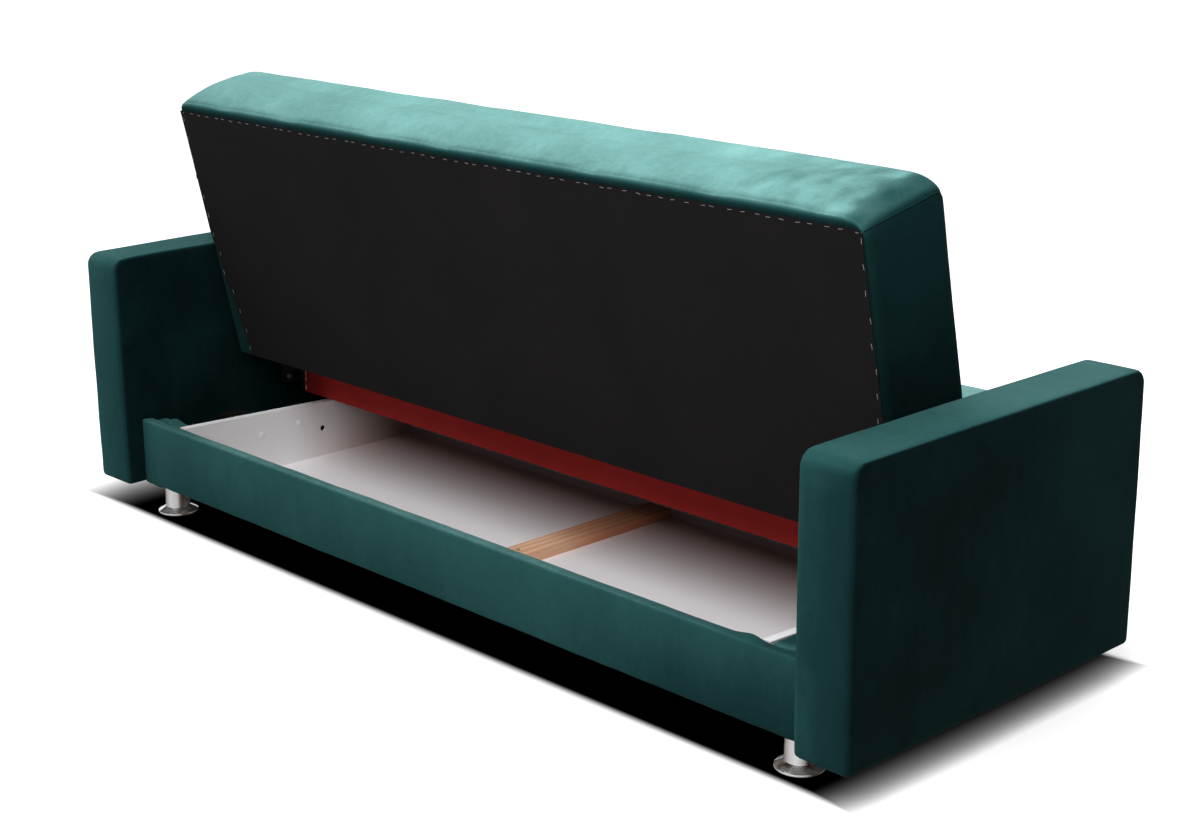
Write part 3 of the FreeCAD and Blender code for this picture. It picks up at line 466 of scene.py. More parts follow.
def red_cloth_material():
    material, tree, shader, point = new_material("red_strip_cloth")
    colour = two_tone(tree, cloud(tree, point, 9.0, 0.8), (0.35, 0.024, 0.020),
                      (0.52, 0.038, 0.032))
    warp, weft = [add(tree, "ShaderNodeTexWave", wave_type="BANDS", bands_direction=way,
                      Vector=point, Scale=420.0).outputs["Fac"] for way in "XZ"]
    wire(tree, shader, colour, bump(tree, 0.4, 0.0005, math_node(tree, "MULTIPLY", warp, weft)),
         Roughness=0.85, Specular_IOR_Level=0.05)
    return material


# %% [markdown]
# The box's boards are white, but their colour is painted warm and low towards the front of the
# box: painted light off the red cloth and painted shade of the seat. Each kind of board has its
# own stops for that, from the open rear (0) to the front (1).

# %% White faced board, and thin board that is white on one side
FLOOR_LIGHT = [(0.0, (1.0, 0.985, 1.0)), (0.38, (1.0, 0.92, 0.93)), (0.69, (0.98, 0.78, 0.77)),
               (1.0, (0.58, 0.39, 0.34))]
SIDE_LIGHT = [(0.0, (0.97, 0.955, 0.96)), (0.38, (0.95, 0.86, 0.86)), (0.62, (0.80, 0.64, 0.62)),
              (0.95, (0.40, 0.28, 0.26))]
SLAT_LIGHT = [(0.0, (1.0, 1.0, 1.0)), (0.12, (1.0, 0.98, 0.98)), (0.38, (0.86, 0.64, 0.56)),
              (0.80, (0.80, 0.54, 0.44)), (1.0, (0.50, 0.32, 0.25))]
FACING_LIGHT = [(0.0, (0.60, 0.50, 0.48)), (1.0, (0.23, 0.155, 0.15))]
LIGHT_REAR, LIGHT_FRONT = 0.12, -0.20


# Painted light and shade: the colour is multiplied by the stops, from the open rear to the front.
def painted_light_by_depth(tree, point, colour, stops):
    depth = ramped(tree, part(tree, point, "Y"), LIGHT_REAR, LIGHT_FRONT, kind="LINEAR")
    return mix_colours(tree, 1.0, colour, ramp(tree, depth, stops), "MULTIPLY")


def skin_normal(tree):
    return tree.nodes.new("ShaderNodeNewGeometry").outputs["Normal"]


def facing_up(tree):
    return math_node(tree, "GREATER_THAN", part(tree, skin_normal(tree), "Z"), 0.5)


def white_board_material(name, stops):
    """White faces painted darker to the front, with a coat and a painted highlight facing up."""
    material, tree, shader, point = new_material(name)
    clouds = cloud(tree, point, 5.0, 0.7)
    face = two_tone(tree, clouds, (0.82, 0.82, 0.82), (0.88, 0.88, 0.88))
    # Faces that point up are painted brighter than white: a painted highlight.
    painted_top_highlight = two_tone(tree, clouds, (1.40, 1.42, 1.45), (1.50, 1.52, 1.55))
    upward = facing_up(tree)
    colour = mix_colours(tree, upward, painted_light_by_depth(tree, point, face, stops), painted_top_highlight)
    tree.links.new(upward, shader.inputs["Coat Weight"])
    wire(tree, shader, colour, tooth(tree, point, 260.0, 0.12, 0.0004), Roughness=0.42,
         Coat_Roughness=0.2)
    return material


def thin_board_material():
    """White above and raw brown fibre below."""
    material, tree, shader, point = new_material("thin_board")
    white = two_tone(tree, cloud(tree, point, 6.0, 0.8), (0.93, 0.92, 0.92), (0.98, 0.97, 0.98))
    brown = two_tone(tree, cloud(tree, point, 160.0, 1.0), (0.16, 0.092, 0.045),
                     (0.26, 0.16, 0.085))
    # The white face is painted with light and shade by depth in the box.
    colour = mix_colours(tree, facing_up(tree), brown, painted_light_by_depth(tree, point, white, FLOOR_LIGHT))
    wire(tree, shader, colour, tooth(tree, point, 300.0, 0.12, 0.0004), Roughness=0.5)
    return material


# %% Pine and plain frame timber
def wood_material(name, pale, dark, knot, along, gloss=0.5, stops=None):
    """Along is how much the grain is stretched on each axis: small along the piece."""
    material, tree, shader, point = new_material(name)
    grown = stretched(tree, point, along)
    grain = place_group(tree, GRAIN, Point=grown, Rings=16.0, Wander=5.0)
    colour = ramp(tree, grain["Grain"], [(0.15, pale), (0.85, dark)])
    shade = two_tone(tree, cloud(tree, grown, 60.0, 0.9), (0.82, 0.80, 0.78), (1, 1, 1))
    colour = mix_colours(tree, 1.0, colour, shade, "MULTIPLY")
    colour = mix_colours(tree, grain["Knot"], colour, knot)
    # Where stops are given, light and shade by depth in the box are painted in.
    if stops:
        colour = painted_light_by_depth(tree, point, colour, stops)
    wire(tree, shader, colour, bump(tree, 0.25, 0.0005, grain["Grain"]), Roughness=0.58,
         Specular_IOR_Level=gloss)
    return material


# %% Metals and plastic
def metal_material(name, pale, dark, roughness, scale, metallic=1.0):
    """Metal whose roughness and colour drift a little over the surface."""
    material, tree, shader, point = new_material(name)
    clouds = cloud(tree, point, scale, 0.8)
    drift = math_node(tree, "MULTIPLY", clouds, roughness)
    tree.links.new(math_node(tree, "ADD", drift, roughness * 0.5), shader.inputs["Roughness"])
    wire(tree, shader, two_tone(tree, clouds, dark, pale),
         tooth(tree, point, 700.0, 0.05, 0.0002), Metallic=metallic)
    return material


# Painted reflections: upright chrome is coloured by the way it faces, level chrome by patches.
PAINTED_STREAK_SIDE = Vector((-0.69, -0.72, 0))
CHROME_PAINTED_REFLECTIONS = [(0.00, (0.30, 0.26, 0.23)), (0.10, (0.74, 0.72, 0.70)), (0.30, (0.97, 0.97, 0.97)),
                (0.58, (0.84, 0.82, 0.80)), (0.70, (0.16, 0.11, 0.08)), (0.80, (0.24, 0.19, 0.15)),
                (0.88, (0.80, 0.79, 0.78))]
FOOT_PAINTED_REFLECTIONS = [(0.30, (0.20, 0.15, 0.12)), (0.42, (0.50, 0.45, 0.41)), (0.52, (0.92, 0.91, 0.90)),
              (0.68, (1.0, 1.0, 1.0))]


def chrome_material():
    """Chrome with painted reflections: a dark brown streak on one side, and patches on level
    parts.
    """
    material, tree, shader, point = new_material("chrome")
    normal = skin_normal(tree)
    side = add(tree, "ShaderNodeVectorMath", operation="DOT_PRODUCT")
    plug(tree, side.inputs[0], normal)
    plug(tree, side.inputs[1], PAINTED_STREAK_SIDE)
    wander = math_node(tree, "MULTIPLY", cloud(tree, point, 30.0, 0.6), 0.08)
    place = math_node(tree, "MULTIPLY_ADD", side.outputs["Value"], 0.5, 0.46)
    upright = ramp(tree, math_node(tree, "ADD", place, wander), CHROME_PAINTED_REFLECTIONS)
    reflection_patches = cloud(tree, stretched(tree, point, (1.0, 1.0, 0.3)), 55.0, 1.0)
    level = ramped(tree, part(tree, normal, "Z"), 0.15, 0.75)
    colour = mix_colours(tree, level, upright, ramp(tree, reflection_patches, FOOT_PAINTED_REFLECTIONS))
    wire(tree, shader, colour, None, Roughness=0.14, Metallic=0.82)
    return material


def plastic_material(name, first, second):
    material, tree, shader, point = new_material(name)
    colour = two_tone(tree, cloud(tree, point, 30.0, 0.8), first, second)
    wire(tree, shader, colour, tooth(tree, point, 900.0, 0.25, 0.0003), Roughness=0.5)
    return material


# %% All finishes
LINING = lining_material()
RED_CLOTH = red_cloth_material()
WHITE_BOARD = white_board_material("white_board", SIDE_LIGHT)
# Painted shade: this board, which the floor cleats also wear, is painted dark and warm for the
# shade under the seat.
FACING_BOARD_PAINTED_DARK = white_board_material("facing_board_painted_dark", FACING_LIGHT)
THIN_BOARD = thin_board_material()
PINE = wood_material("pine", (0.98, 0.65, 0.44), (0.85, 0.47, 0.28),
                     (0.20, 0.085, 0.040), (1.0, 0.12, 1.0), stops=SLAT_LIGHT)
TIMBER = wood_material("frame_timber", (0.58, 0.42, 0.25), (0.43, 0.28, 0.14),
                       (0.20, 0.10, 0.045), (0.12, 1.0, 1.0))
# Painted shade: near black for the corner blocks and spacers that sit deep between the box and the
# arms.
SHADE_DARK_TIMBER = wood_material("timber_painted_dark", (0.010, 0.009, 0.008), (0.006, 0.005, 0.005),
                        (0.004, 0.004, 0.003), (0.12, 1.0, 1.0), gloss=0.1)
CHROME = chrome_material()
ZINC = metal_material("zinc_steel", (0.66, 0.66, 0.62), (0.50, 0.51, 0.50), 0.34, 60.0)
DULL_ZINC = metal_material("dull_staple_wire", (0.40, 0.40, 0.39), (0.24, 0.24, 0.24),
                           0.5, 60.0)
BLACK_STEEL = metal_material("black_steel", (0.030, 0.027, 0.024), (0.018, 0.016, 0.015),
                             0.5, 60.0)
GOLD = metal_material("gold_staple_wire", (0.96, 0.84, 0.66), (0.86, 0.72, 0.54), 0.45, 60.0,
                      metallic=0.6)
SPRING = metal_material("spring_wire", (0.26, 0.26, 0.27), (0.16, 0.16, 0.17), 0.36, 40.0)
BRACKET = metal_material("bracket_paint", (0.018, 0.018, 0.019), (0.010, 0.010, 0.011), 0.50,
                         25.0, metallic=0.2)
PLASTIC = plastic_material("black_plastic", (0.012, 0.012, 0.012), (0.020, 0.020, 0.021))
CAP_PLASTIC = plastic_material("pale_cap_plastic", (0.84, 0.83, 0.81), (0.90, 0.89, 0.87))
print("materials:", len(bpy.data.materials))

# %% Dress the model's own pieces
OWN_PIECES = {
    WHITE_BOARD: "box_side_left box_side_right rear_rail front_rail",
    THIN_BOARD: "floor_sheet_left floor_sheet_right",
    TIMBER: "arm_frame_left arm_frame_right back_frame seat_frame",
    # Near black for painted shade.
    SHADE_DARK_TIMBER: "corner_blocks arm_spacers",
    # The cleats wear the board painted dark for the shade under the seat.
    FACING_BOARD_PAINTED_DARK: "floor_cleats",
    PINE: "centre_slat",
    CHROME: "leg_tubes leg_feet",
    PLASTIC: "leg_caps leg_glides seat_glides back_spring_clips seat_spring_clips",
    ZINC: "leg_bolts bracket_screws back_spacer_tubes pawl_pins hub_pins pivot_pins",
    DULL_ZINC: "back_staples",
    BLACK_STEEL: "tie_bolts back_bolts seat_bolts",
    GOLD: "seat_staples",
    BRACKET: "base_plate_left base_plate_right swing_link_left swing_link_right "
             "back_plate_left back_plate_right seat_plate_left seat_plate_right "
             "ratchet_wheel_left ratchet_wheel_right pawl_left pawl_right",
    SPRING: "back_springs seat_springs",
    LINING: "back_lining seat_bottom_lining",
    RED_CLOTH: "seat_rear_lining",
    VELVET: "arm_cover_left arm_cover_right rear_rail_cover front_rail_cover "
            "back_cushion seat_cushion",
}
for material, names in OWN_PIECES.items():
    for name in names.split():
        wear(NODES[name], material)

# %% [markdown]
# ## Camera, light and floor
#
# The camera's place was solved from the photograph's straight edges. The light is plain: an
# even pale world, a broad lamp at the rear that also looks into the box, and a weaker one
# overhead for the upper faces. The floor is pale and shows the camera a painted shadow under
# the sofa.

# %% Camera
CAMERA_PLACE = Vector((-2.960, 2.786, 1.516))
CAMERA_YAW = math.radians(-43.72)
CAMERA_PITCH = math.radians(-16.31)
CAMERA_ROLL = -0.0069  # radians
CAMERA_LENS = 63.5


def place_camera():
    forward = Vector((math.cos(CAMERA_PITCH) * math.cos(CAMERA_YAW),
                      math.cos(CAMERA_PITCH) * math.sin(CAMERA_YAW),
                      math.sin(CAMERA_PITCH)))
    level = forward.cross(Vector((0, 0, 1))).normalized()
    upright = level.cross(forward)
    right = math.cos(CAMERA_ROLL) * level + math.sin(CAMERA_ROLL) * upright
    up = right.cross(forward)
    turn = Matrix((right, up, -forward)).transposed().to_4x4()
    data = bpy.data.cameras.new("camera")
    data.lens = CAMERA_LENS
    camera = in_scene(bpy.data.objects.new("camera", data))
    camera.matrix_world = Matrix.Translation(CAMERA_PLACE) @ turn
    bpy.context.scene.camera = camera


place_camera()


# %% Light and world
def area_lamp(name, place, aim, size, power):
    data = bpy.data.lights.new(name, "AREA")
    data.shape = "DISK"
    data.size = size
    data.energy = power
    lamp = in_scene(bpy.data.objects.new(name, data))
    lamp.location = place
    lamp.rotation_euler = (Vector(aim) - Vector(place)).to_track_quat("-Z", "Y").to_euler()


WORLD_LEVEL = 0.21
area_lamp("rear", (-1.6, 3.1, 4.1), (0, 0.1, 0.3), 3.8, 200)
area_lamp("overhead", (0.3, -0.9, 4.2), (0, 0.0, 0.4), 2.4, 42)


def pale_world():
    world = bpy.data.worlds.new("pale_world")
    world.use_nodes = True
    tree = world.node_tree
    light = tree.nodes["Background"]
    light.inputs["Color"].default_value = (1, 1, 1, 1)
    light.inputs["Strength"].default_value = WORLD_LEVEL
    seen = add(tree, "ShaderNodeBackground", Color=(1, 1, 1, 1), Strength=1.0)
    ray = tree.nodes.new("ShaderNodeLightPath").outputs
    direct = math_node(tree, "MAXIMUM", ray["Is Camera Ray"], ray["Is Glossy Ray"])
    direct = math_node(tree, "MAXIMUM", direct, ray["Is Transmission Ray"])
    mix = add(tree, "ShaderNodeMixShader", Fac=direct)
    tree.links.new(light.outputs[0], mix.inputs[1])
    tree.links.new(seen.outputs[0], mix.inputs[2])
    tree.links.new(mix.outputs[0], tree.nodes["World Output"].inputs["Surface"])
    bpy.context.scene.world = world


pale_world()
bpy.context.scene.view_settings.view_transform = "Standard"


# %% Floor
SHADE_RIGHT = (0.975, 1.090)
SHADE_LEFT = (1.000, 1.220)
SHADE_REAR = (0.397, 0.424)
SHADE_MIDDLE = 0.035
SHADE_FALL = 2.2
FLOOR_SIZE = 60


def outside_painted_shadow(tree, point):
    """A painted shadow: 0 under the sofa, 1 beside it.

    Soft along X, sharp along Y, from the floor place alone.
    """
    leftward, along = part(tree, point, "X"), part(tree, point, "Y")
    rightward = math_node(tree, "MULTIPLY", leftward, -1.0)
    right = ramped(tree, rightward, *SHADE_RIGHT, kind="LINEAR")
    left = ramped(tree, leftward, *SHADE_LEFT, kind="LINEAR")
    beside = math_node(tree, "POWER", math_node(tree, "MAXIMUM", left, right), SHADE_FALL)
    along = math_node(tree, "SUBTRACT", along, SHADE_MIDDLE)
    behind = ramped(tree, math_node(tree, "ABSOLUTE", along), *SHADE_REAR)
    return math_node(tree, "MAXIMUM", beside, behind)


def pale_floor():
    """A floor that shows a painted shadow to the camera alone, and is lifted to white further out.
    """
    select_only()
    bpy.ops.mesh.primitive_plane_add(size=FLOOR_SIZE, location=(0, 0, 0))
    floor = bpy.context.object
    floor.name = "floor"
    material, tree, shader, point = new_material("pale_floor")
    outside_shadow = outside_painted_shadow(tree, point)
    seen = tree.nodes.new("ShaderNodeLightPath").outputs["Is Camera Ray"]
    painted = math_node(tree, "MULTIPLY_ADD", math_node(tree, "SUBTRACT", outside_shadow, 1.0), seen,
                        1.0)
    wire(tree, shader, ramp(tree, painted, [(0, (0, 0, 0)), (1, (0.84, 0.84, 0.84))]), None,
         Roughness=0.9, Specular_IOR_Level=0.0)
    away = add(tree, "ShaderNodeVectorMath", operation="LENGTH")
    tree.links.new(stretched(tree, point, (0.42, 1.0, 1.0)), away.inputs[0])
    fade = ramped(tree, away.outputs["Value"], 0.30, 0.90, 0.40, 1.0)
    strength = math_node(tree, "MULTIPLY", math_node(tree, "MULTIPLY", fade, outside_shadow), seen)
    lift = add(tree, "ShaderNodeEmission", Color=(1, 1, 1, 1), Strength=strength)
    both = tree.nodes.new("ShaderNodeAddShader")
    tree.links.new(shader.outputs[0], both.inputs[0])
    tree.links.new(lift.outputs[0], both.inputs[1])
    tree.links.new(both.outputs[0], tree.nodes["Material Output"].inputs["Surface"])
    wear(floor, material)


pale_floor()

# %% [markdown]
# ## Arms
#
# Each arm is a flat frame under a thin sheet of foam, with velvet pulled tight over it. A
# simulation would only round it like a pillow, so it is modelled: a block with rounded
# edges, cut into small faces, whose broad sides get a faint crown and the slow unevenness
# of foam. The inner side stays flat, because brackets and rails butt against it.

# %% Soft blocks
ARM_EDGE = 9 * MM
ARM_TOP_EDGE = 26 * MM
ARM_STEP = 5 * MM
ARM_CROWNS = 3.0 * MM, 2.0 * MM, 1.5 * MM
ARM_WAVES = [(0.16, 1.3 * MM, 1.0), (0.05, 0.5 * MM, 5.0)]


def remesh(obj, voxel):
    obj.data.remesh_voxel_size = voxel
    obj.data.remesh_voxel_adaptivity = 0
    select_only(obj)
    bpy.ops.object.voxel_remesh()
    return obj


def relax(obj, factor, steps):
    return finish_with(obj, "SMOOTH", factor=factor, iterations=steps)


def arm_cover(node, side, top_tone, rear_tone):
    low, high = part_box(node)
    obj = box_piece(f"{node}_velvet", low, high)
    centre = (low.x + high.x) / 2

    def on_top_end(edge):
        return middle(edge).z > high.z - MM and abs(middle(edge).x - centre) < MM

    bevel_edges(obj, on_top_end, ARM_TOP_EDGE, 6)
    bevel_edges(obj, lambda edge: edge.calc_face_angle(0) > math.radians(60), ARM_EDGE, 4)
    remesh(obj, ARM_STEP)
    relax(obj, 0.5, 2)

    def shape(place, normal):
        across = share(place.y, low.y, high.y)
        up = share(place.z, low.z, high.z)
        outer = max(0.0, normal.x * side)
        inner = max(0.0, -normal.x * side)
        crown = (1 - across ** 4) * (1 - up ** 4) * ARM_CROWNS[0] * outer
        top = max(0.0, normal.z) * (1 - across ** 6) * ARM_CROWNS[1]
        ends = abs(normal.y) * (1 - up ** 6) * ARM_CROWNS[2]
        return normal * (crown + top + ends + unevenness(place, ARM_WAVES) * (1 - inner))

    each_point(obj, shape)

    def drift(place, normal):
        """Painted light and sheen: the right arm's top is paler to the front, each rear face to
        the left and near its top, and the outer side to the front.
        """
        sweep = (0.14 * ease(place.y, 0.22, -0.02) - 0.02) * max(0.0, normal.z) ** 2
        if side > 0:
            sweep = 0.02 * max(0.0, normal.z)
        sideways = 1.3 * (place.x - centre) * max(0.0, normal.y) ** 2
        lifted = 0.05 * ease(place.z, high.z - 0.07, high.z - 0.02) * max(0.0, normal.y) ** 2
        outer_front_light = 0.05 * (1 - ease(place.y, -0.3, 0.4)) * max(0.0, normal.x * side) ** 4
        return sweep + sideways + lifted + outer_front_light

    # Each face's tone is pile and painted light: the top pale, the outer side near black, and rear
    # corners paler to the left than to the right.
    lay_nap_and_light(obj, [((0, 0, 1), top_tone), ((0, 1, 0), rear_tone), ((0, -1, 0), 0.33),
                  ((0, 0, -1), 0.1), ((side, 0, 0), 0.02), ((-side, 0, 0), 0.03),
                  ((0.6, 0.8, 0), rear_tone + 0.10), ((-0.6, 0.8, 0), rear_tone - 0.10),
                  ((0, 0.7, 0.7), (top_tone + rear_tone) / 2 + 0.02)], drift)
    smooth(obj)
    return dress(obj, "root", VELVET, "velvet", node)


arm_cover("arm_cover_left", 1, 0.59, 0.36)
arm_cover("arm_cover_right", -1, 0.55, 0.24)

# %% [markdown]
# ## Rails
#
# The rails are boards wrapped in velvet. The cloth is folded round each end before the arm
# goes on, so a doubled tab shows there, and the pull of the staples leaves shallow upright
# creases.

# %% Wrapped rails
RAIL_EDGE = 5 * MM
RAIL_STEP = 4 * MM
TAB_LENGTH = 62 * MM
TAB_RISE = 1.6 * MM
TOP_FALL = 2.5 * MM
LUMP_PLACE, LUMP_WIDTH, LUMP_RISE = -0.822, 0.026, 7 * MM
RAIL_BELLY = 1.2 * MM
RAIL_WAVES = [(0.12, 0.9 * MM, 4.0), (0.035, 0.35 * MM, 8.0)]


def wrapped_rail(node):
    low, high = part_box(node)
    obj = box_piece(f"{node}_velvet", low, high)
    bevel_edges(obj, lambda edge: reach_x(edge) > 0.1, RAIL_EDGE, 3)
    remesh(obj, RAIL_STEP)
    relax(obj, 0.5, 1)
    outer, inner = (high.y, low.y) if low.y > 0 else (low.y, high.y)

    def shape(place, normal):
        near_end = max(0.0, 1 - (high.x - abs(place.x)) / 0.16)
        up = share(place.z, low.z, high.z)
        creases = ripple(Vector((place.x * 3.2, 0, place.z * 0.5)), 0.06, 2.0) * near_end
        belly = (1 - up ** 2) * RAIL_BELLY
        tab = TAB_RISE if high.x - abs(place.x) < TAB_LENGTH + 6 * MM * up else 0.0
        fall = TOP_FALL * ease(place.y, outer, inner) if up > 0.9 else 0.0
        lump = bell(place.x, LUMP_PLACE, LUMP_WIDTH) * LUMP_RISE
        fall -= lump * ease(place.y, outer, inner) * max(0.0, normal.z)
        if abs(normal.x) > 0.5:
            return Vector((0, 0, -fall))
        swell = creases * 1.8 * MM + belly * abs(normal.y) + tab
        swell += unevenness(place, RAIL_WAVES)
        return normal * swell - Vector((0, 0, fall))

    each_point(obj, shape)

    def drift(place, normal):
        """Painted shade and sheen: darker to the right end, the lower edge and on top at both
        ends.
        """
        right = ease(place.x, -0.30, -0.98)
        left_end = 0.09 * ease(place.x, high.x - 0.03, high.x)
        ends = 0.16 * ease(abs(place.x), 0.70, 0.90) * max(0.0, normal.z)
        ends += 0.085 * ease(place.x, -0.30, -0.65) * max(0.0, normal.z)
        from_middle = place.z - (low.z + high.z) / 2
        return (0.9 + 0.8 * right) * from_middle * abs(normal.y) - 0.13 * right - left_end - ends

    # Each face's tone is pile and painted light: a pale painted band on top and a painted
    # highlight on the rounded top edge.
    lay_nap_and_light(obj, [((0, 0, 1), 0.74), ((0, 1, 0), 0.39), ((0, -1, 0), 0.40), ((0, 0, -1), 0.1),
                  ((0, 0.7, 0.7), 0.65)], drift)
    smooth(obj)
    return dress(obj, "root", VELVET, "velvet", node)


wrapped_rail("rear_rail_cover")
wrapped_rail("front_rail_cover")

# %% Folded cloth behind the rail's ends
TAB_INNER, TAB_OUTER = 858.5 * MM, 963 * MM
# By side: 1 is the left end and -1 the right
TAB_SPANS = {1: (364 * MM, 399 * MM), -1: (318 * MM, 399 * MM)}
TAB_FOOT, TAB_TOPS = 150 * MM, {1: 203 * MM, -1: 207 * MM}
TAB_PEAK, TAB_DIP = 913 * MM, 942 * MM


def folded_tab(side):
    """The spare cloth at the rail's end, folded into the gap beside the box."""
    front, rear = TAB_SPANS[side]
    obj = box_piece("folded_tab", (TAB_INNER, front, TAB_FOOT), (TAB_OUTER, rear, TAB_TOPS[side]))
    bevel_edges(obj, lambda edge: True, 6 * MM, 3)
    remesh(obj, 4 * MM)

    def shape(place, normal):
        peak = bell(place.x, TAB_PEAK, 0.020) * 7.5 * MM
        dip = bell(place.x, TAB_DIP, 0.010) * 3.0 * MM
        if side < 0:
            peak *= 0.4 * ease(place.y, 0.34, 0.39)
        crease = ripple(Vector((place.x * 2.5, place.y, place.z * 0.4)), 0.03, 5.0) * 1.6 * MM
        return Vector((0, 0, max(0.0, normal.z) * (peak - dip))) + normal * crease

    each_point(obj, shape)
    relax(obj, 0.5, 2)
    if side < 0:
        obj.data.transform(Matrix.Scale(-1, 4, (1, 0, 0)))
        obj.data.flip_normals()
    # Painted light and shade: each face's tone is set by the way it points, the right tab darker
    # than the left, with a paler rear edge.
    tone = 0.44 if side > 0 else 0.30
    lay_nap_and_light(obj, [((0, 0, 1), tone + 0.06), ((0, 1, 0), tone), ((0, -1, 0), tone - 0.1),
                  ((-side, 0, 0), tone - 0.12), ((side, 0, 0), 0.2)],
            lambda place, normal: 0.22 * ease(place.y, 0.37, 0.395) if side < 0 else 0.0)
    return smooth(obj, 60)


tabs = join("rail_end_tabs", [folded_tab(1), folded_tab(-1)])
dress(tabs, "root", VELVET, "velvet")

# %% [markdown]
# ## Cushions
#
# Seat and back are foam blocks in a sewn cover: a broad top panel, a border along each long
# side, and an end panel at each end. Each starts as a block with rounded edges in its own
# upright frame, where Y runs along the cushion from its crease edge and Z is its thickness.
# A cloth simulation with pressure inflates it while its flat side is pinned to the frame,
# and then it is laid in place.

# %% Where the cushions lie
BACK_TILT = math.radians(12)
CREASE_EDGE = 100 * MM
NOSE_EDGE = 26 * MM
HIND_EDGE = 6 * MM
END_EDGE = 7 * MM
CUSHION_STEP = 9 * MM
BACK_HEIGHT = 590 * MM
BACK_THICKNESS = 203 * MM
BACK_FOOT = Vector((0, 176.5 * MM, 321 * MM))

seat_low, seat_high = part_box("seat_cushion")
SEAT_LENGTH = seat_high.y - seat_low.y
SEAT_THICKNESS = 217 * MM
HALF_WIDTH = seat_high.x

SEAT_FRAME = Matrix.Translation((0, seat_high.y, seat_low.z)) @ Matrix.Scale(-1, 4, (0, 1, 0))
BACK_FRAME = (Matrix.Translation(BACK_FOOT) @ Matrix.Rotation(-BACK_TILT, 4, "X")
              @ Matrix(((1, 0, 0, 0), (0, 0, -1, 0), (0, 1, 0, 0), (0, 0, 0, 1))))


def cushion_block(name, length, thickness):
    """A block between its crease edge at Y zero and its far edge, with rounded long edges."""
    obj = box_piece(name, (-HALF_WIDTH, 0, 0), (HALF_WIDTH, length, thickness))
    for y, z, width, segments in ((0, thickness, CREASE_EDGE, 10),
                                  (length, thickness, NOSE_EDGE, 6), (length, 0, HIND_EDGE, 3)):
        bevel_edges(obj, lambda edge: (middle(edge) - Vector((0, y, z))).length < MM,
                    width, segments)

    def rounded_end(edge):
        return (all(abs(abs(vertex.co.x) - HALF_WIDTH) < MM for vertex in edge.verts)
                and any(vertex.co.z > 2 * MM for vertex in edge.verts))

    bevel_edges(obj, rounded_end, END_EDGE, 4)
    return remesh(obj, CUSHION_STEP)


# %% Inflate a cushion
SIM_FRAMES = 20
SWELL_LIMIT = 14 * MM
SINK_LIMIT = 2 * MM
PINNED_DEPTH = 14 * MM
CLOTH = {"quality": 5, "mass": 0.3, "tension_stiffness": 15, "compression_stiffness": 15,
         "shear_stiffness": 8, "bending_stiffness": 0.5, "air_damping": 3,
         "vertex_group_mass": "pins", "use_pressure": True}


def inflate(obj, pressure):
    """Swell the skin by a cloth simulation, with its flat side and its end panels pinned."""
    pins = obj.vertex_groups.new(name="pins")
    start = [(vertex.co.copy(), vertex.normal.copy()) for vertex in obj.data.vertices]
    held = [v.index for v in obj.data.vertices
            if v.co.z < PINNED_DEPTH or abs(v.co.x) > HALF_WIDTH - 2 * MM]
    pins.add(held, 1.0, "REPLACE")
    select_only(obj)
    cloth = obj.modifiers.new("Cloth", "CLOTH")
    for key, value in CLOTH.items():
        setattr(cloth.settings, key, value)
    cloth.settings.uniform_pressure_force = pressure
    cloth.settings.effector_weights.gravity = 0
    cloth.collision_settings.use_collision = False
    cloth.point_cache.frame_start = 1
    cloth.point_cache.frame_end = SIM_FRAMES
    for number in range(1, SIM_FRAMES + 1):
        bpy.context.scene.frame_set(number)
    bpy.ops.object.modifier_apply(modifier=cloth.name)
    bpy.context.scene.frame_set(1)
    obj.vertex_groups.clear()
    furthest = 0.0
    for vertex, (origin, normal) in zip(obj.data.vertices, start):
        shift = vertex.co - origin
        furthest = max(furthest, shift.length)
        out = shift.dot(normal)
        along = shift - normal * out
        out = min(SWELL_LIMIT, max(-SINK_LIMIT, out))
        if along.length > SINK_LIMIT:
            along = along.normalized() * SINK_LIMIT
        vertex.co = origin + normal * out + along
    print(f"{obj.name} swelled by up to {furthest / MM:.1f} mm")
    return obj


# %% Shape a cushion's skin
SIDE_DRAW = 3 * MM
TUCK = 1.5 * MM
BORDER_DEPTH = 120 * MM
ROLL_WIDTH = 58 * MM
PULL_WIDTH, PULL_DEPTH = 34 * MM, 3.6 * MM


def swollen(obj, length, thickness):
    """How far the middle of the far border and of the broad face have come out."""
    border = [v.co.y for v in obj.data.vertices
              if abs(v.co.x) < 0.1 and abs(v.co.z - thickness / 2) < 0.03 and v.co.y > length / 2]
    face = [v.co.z for v in obj.data.vertices
            if abs(v.co.x) < 0.1 and abs(v.co.y - length / 2) < 0.03 and v.co.z > thickness / 2]
    return sum(border) / len(border) - length, sum(face) / len(face) - thickness


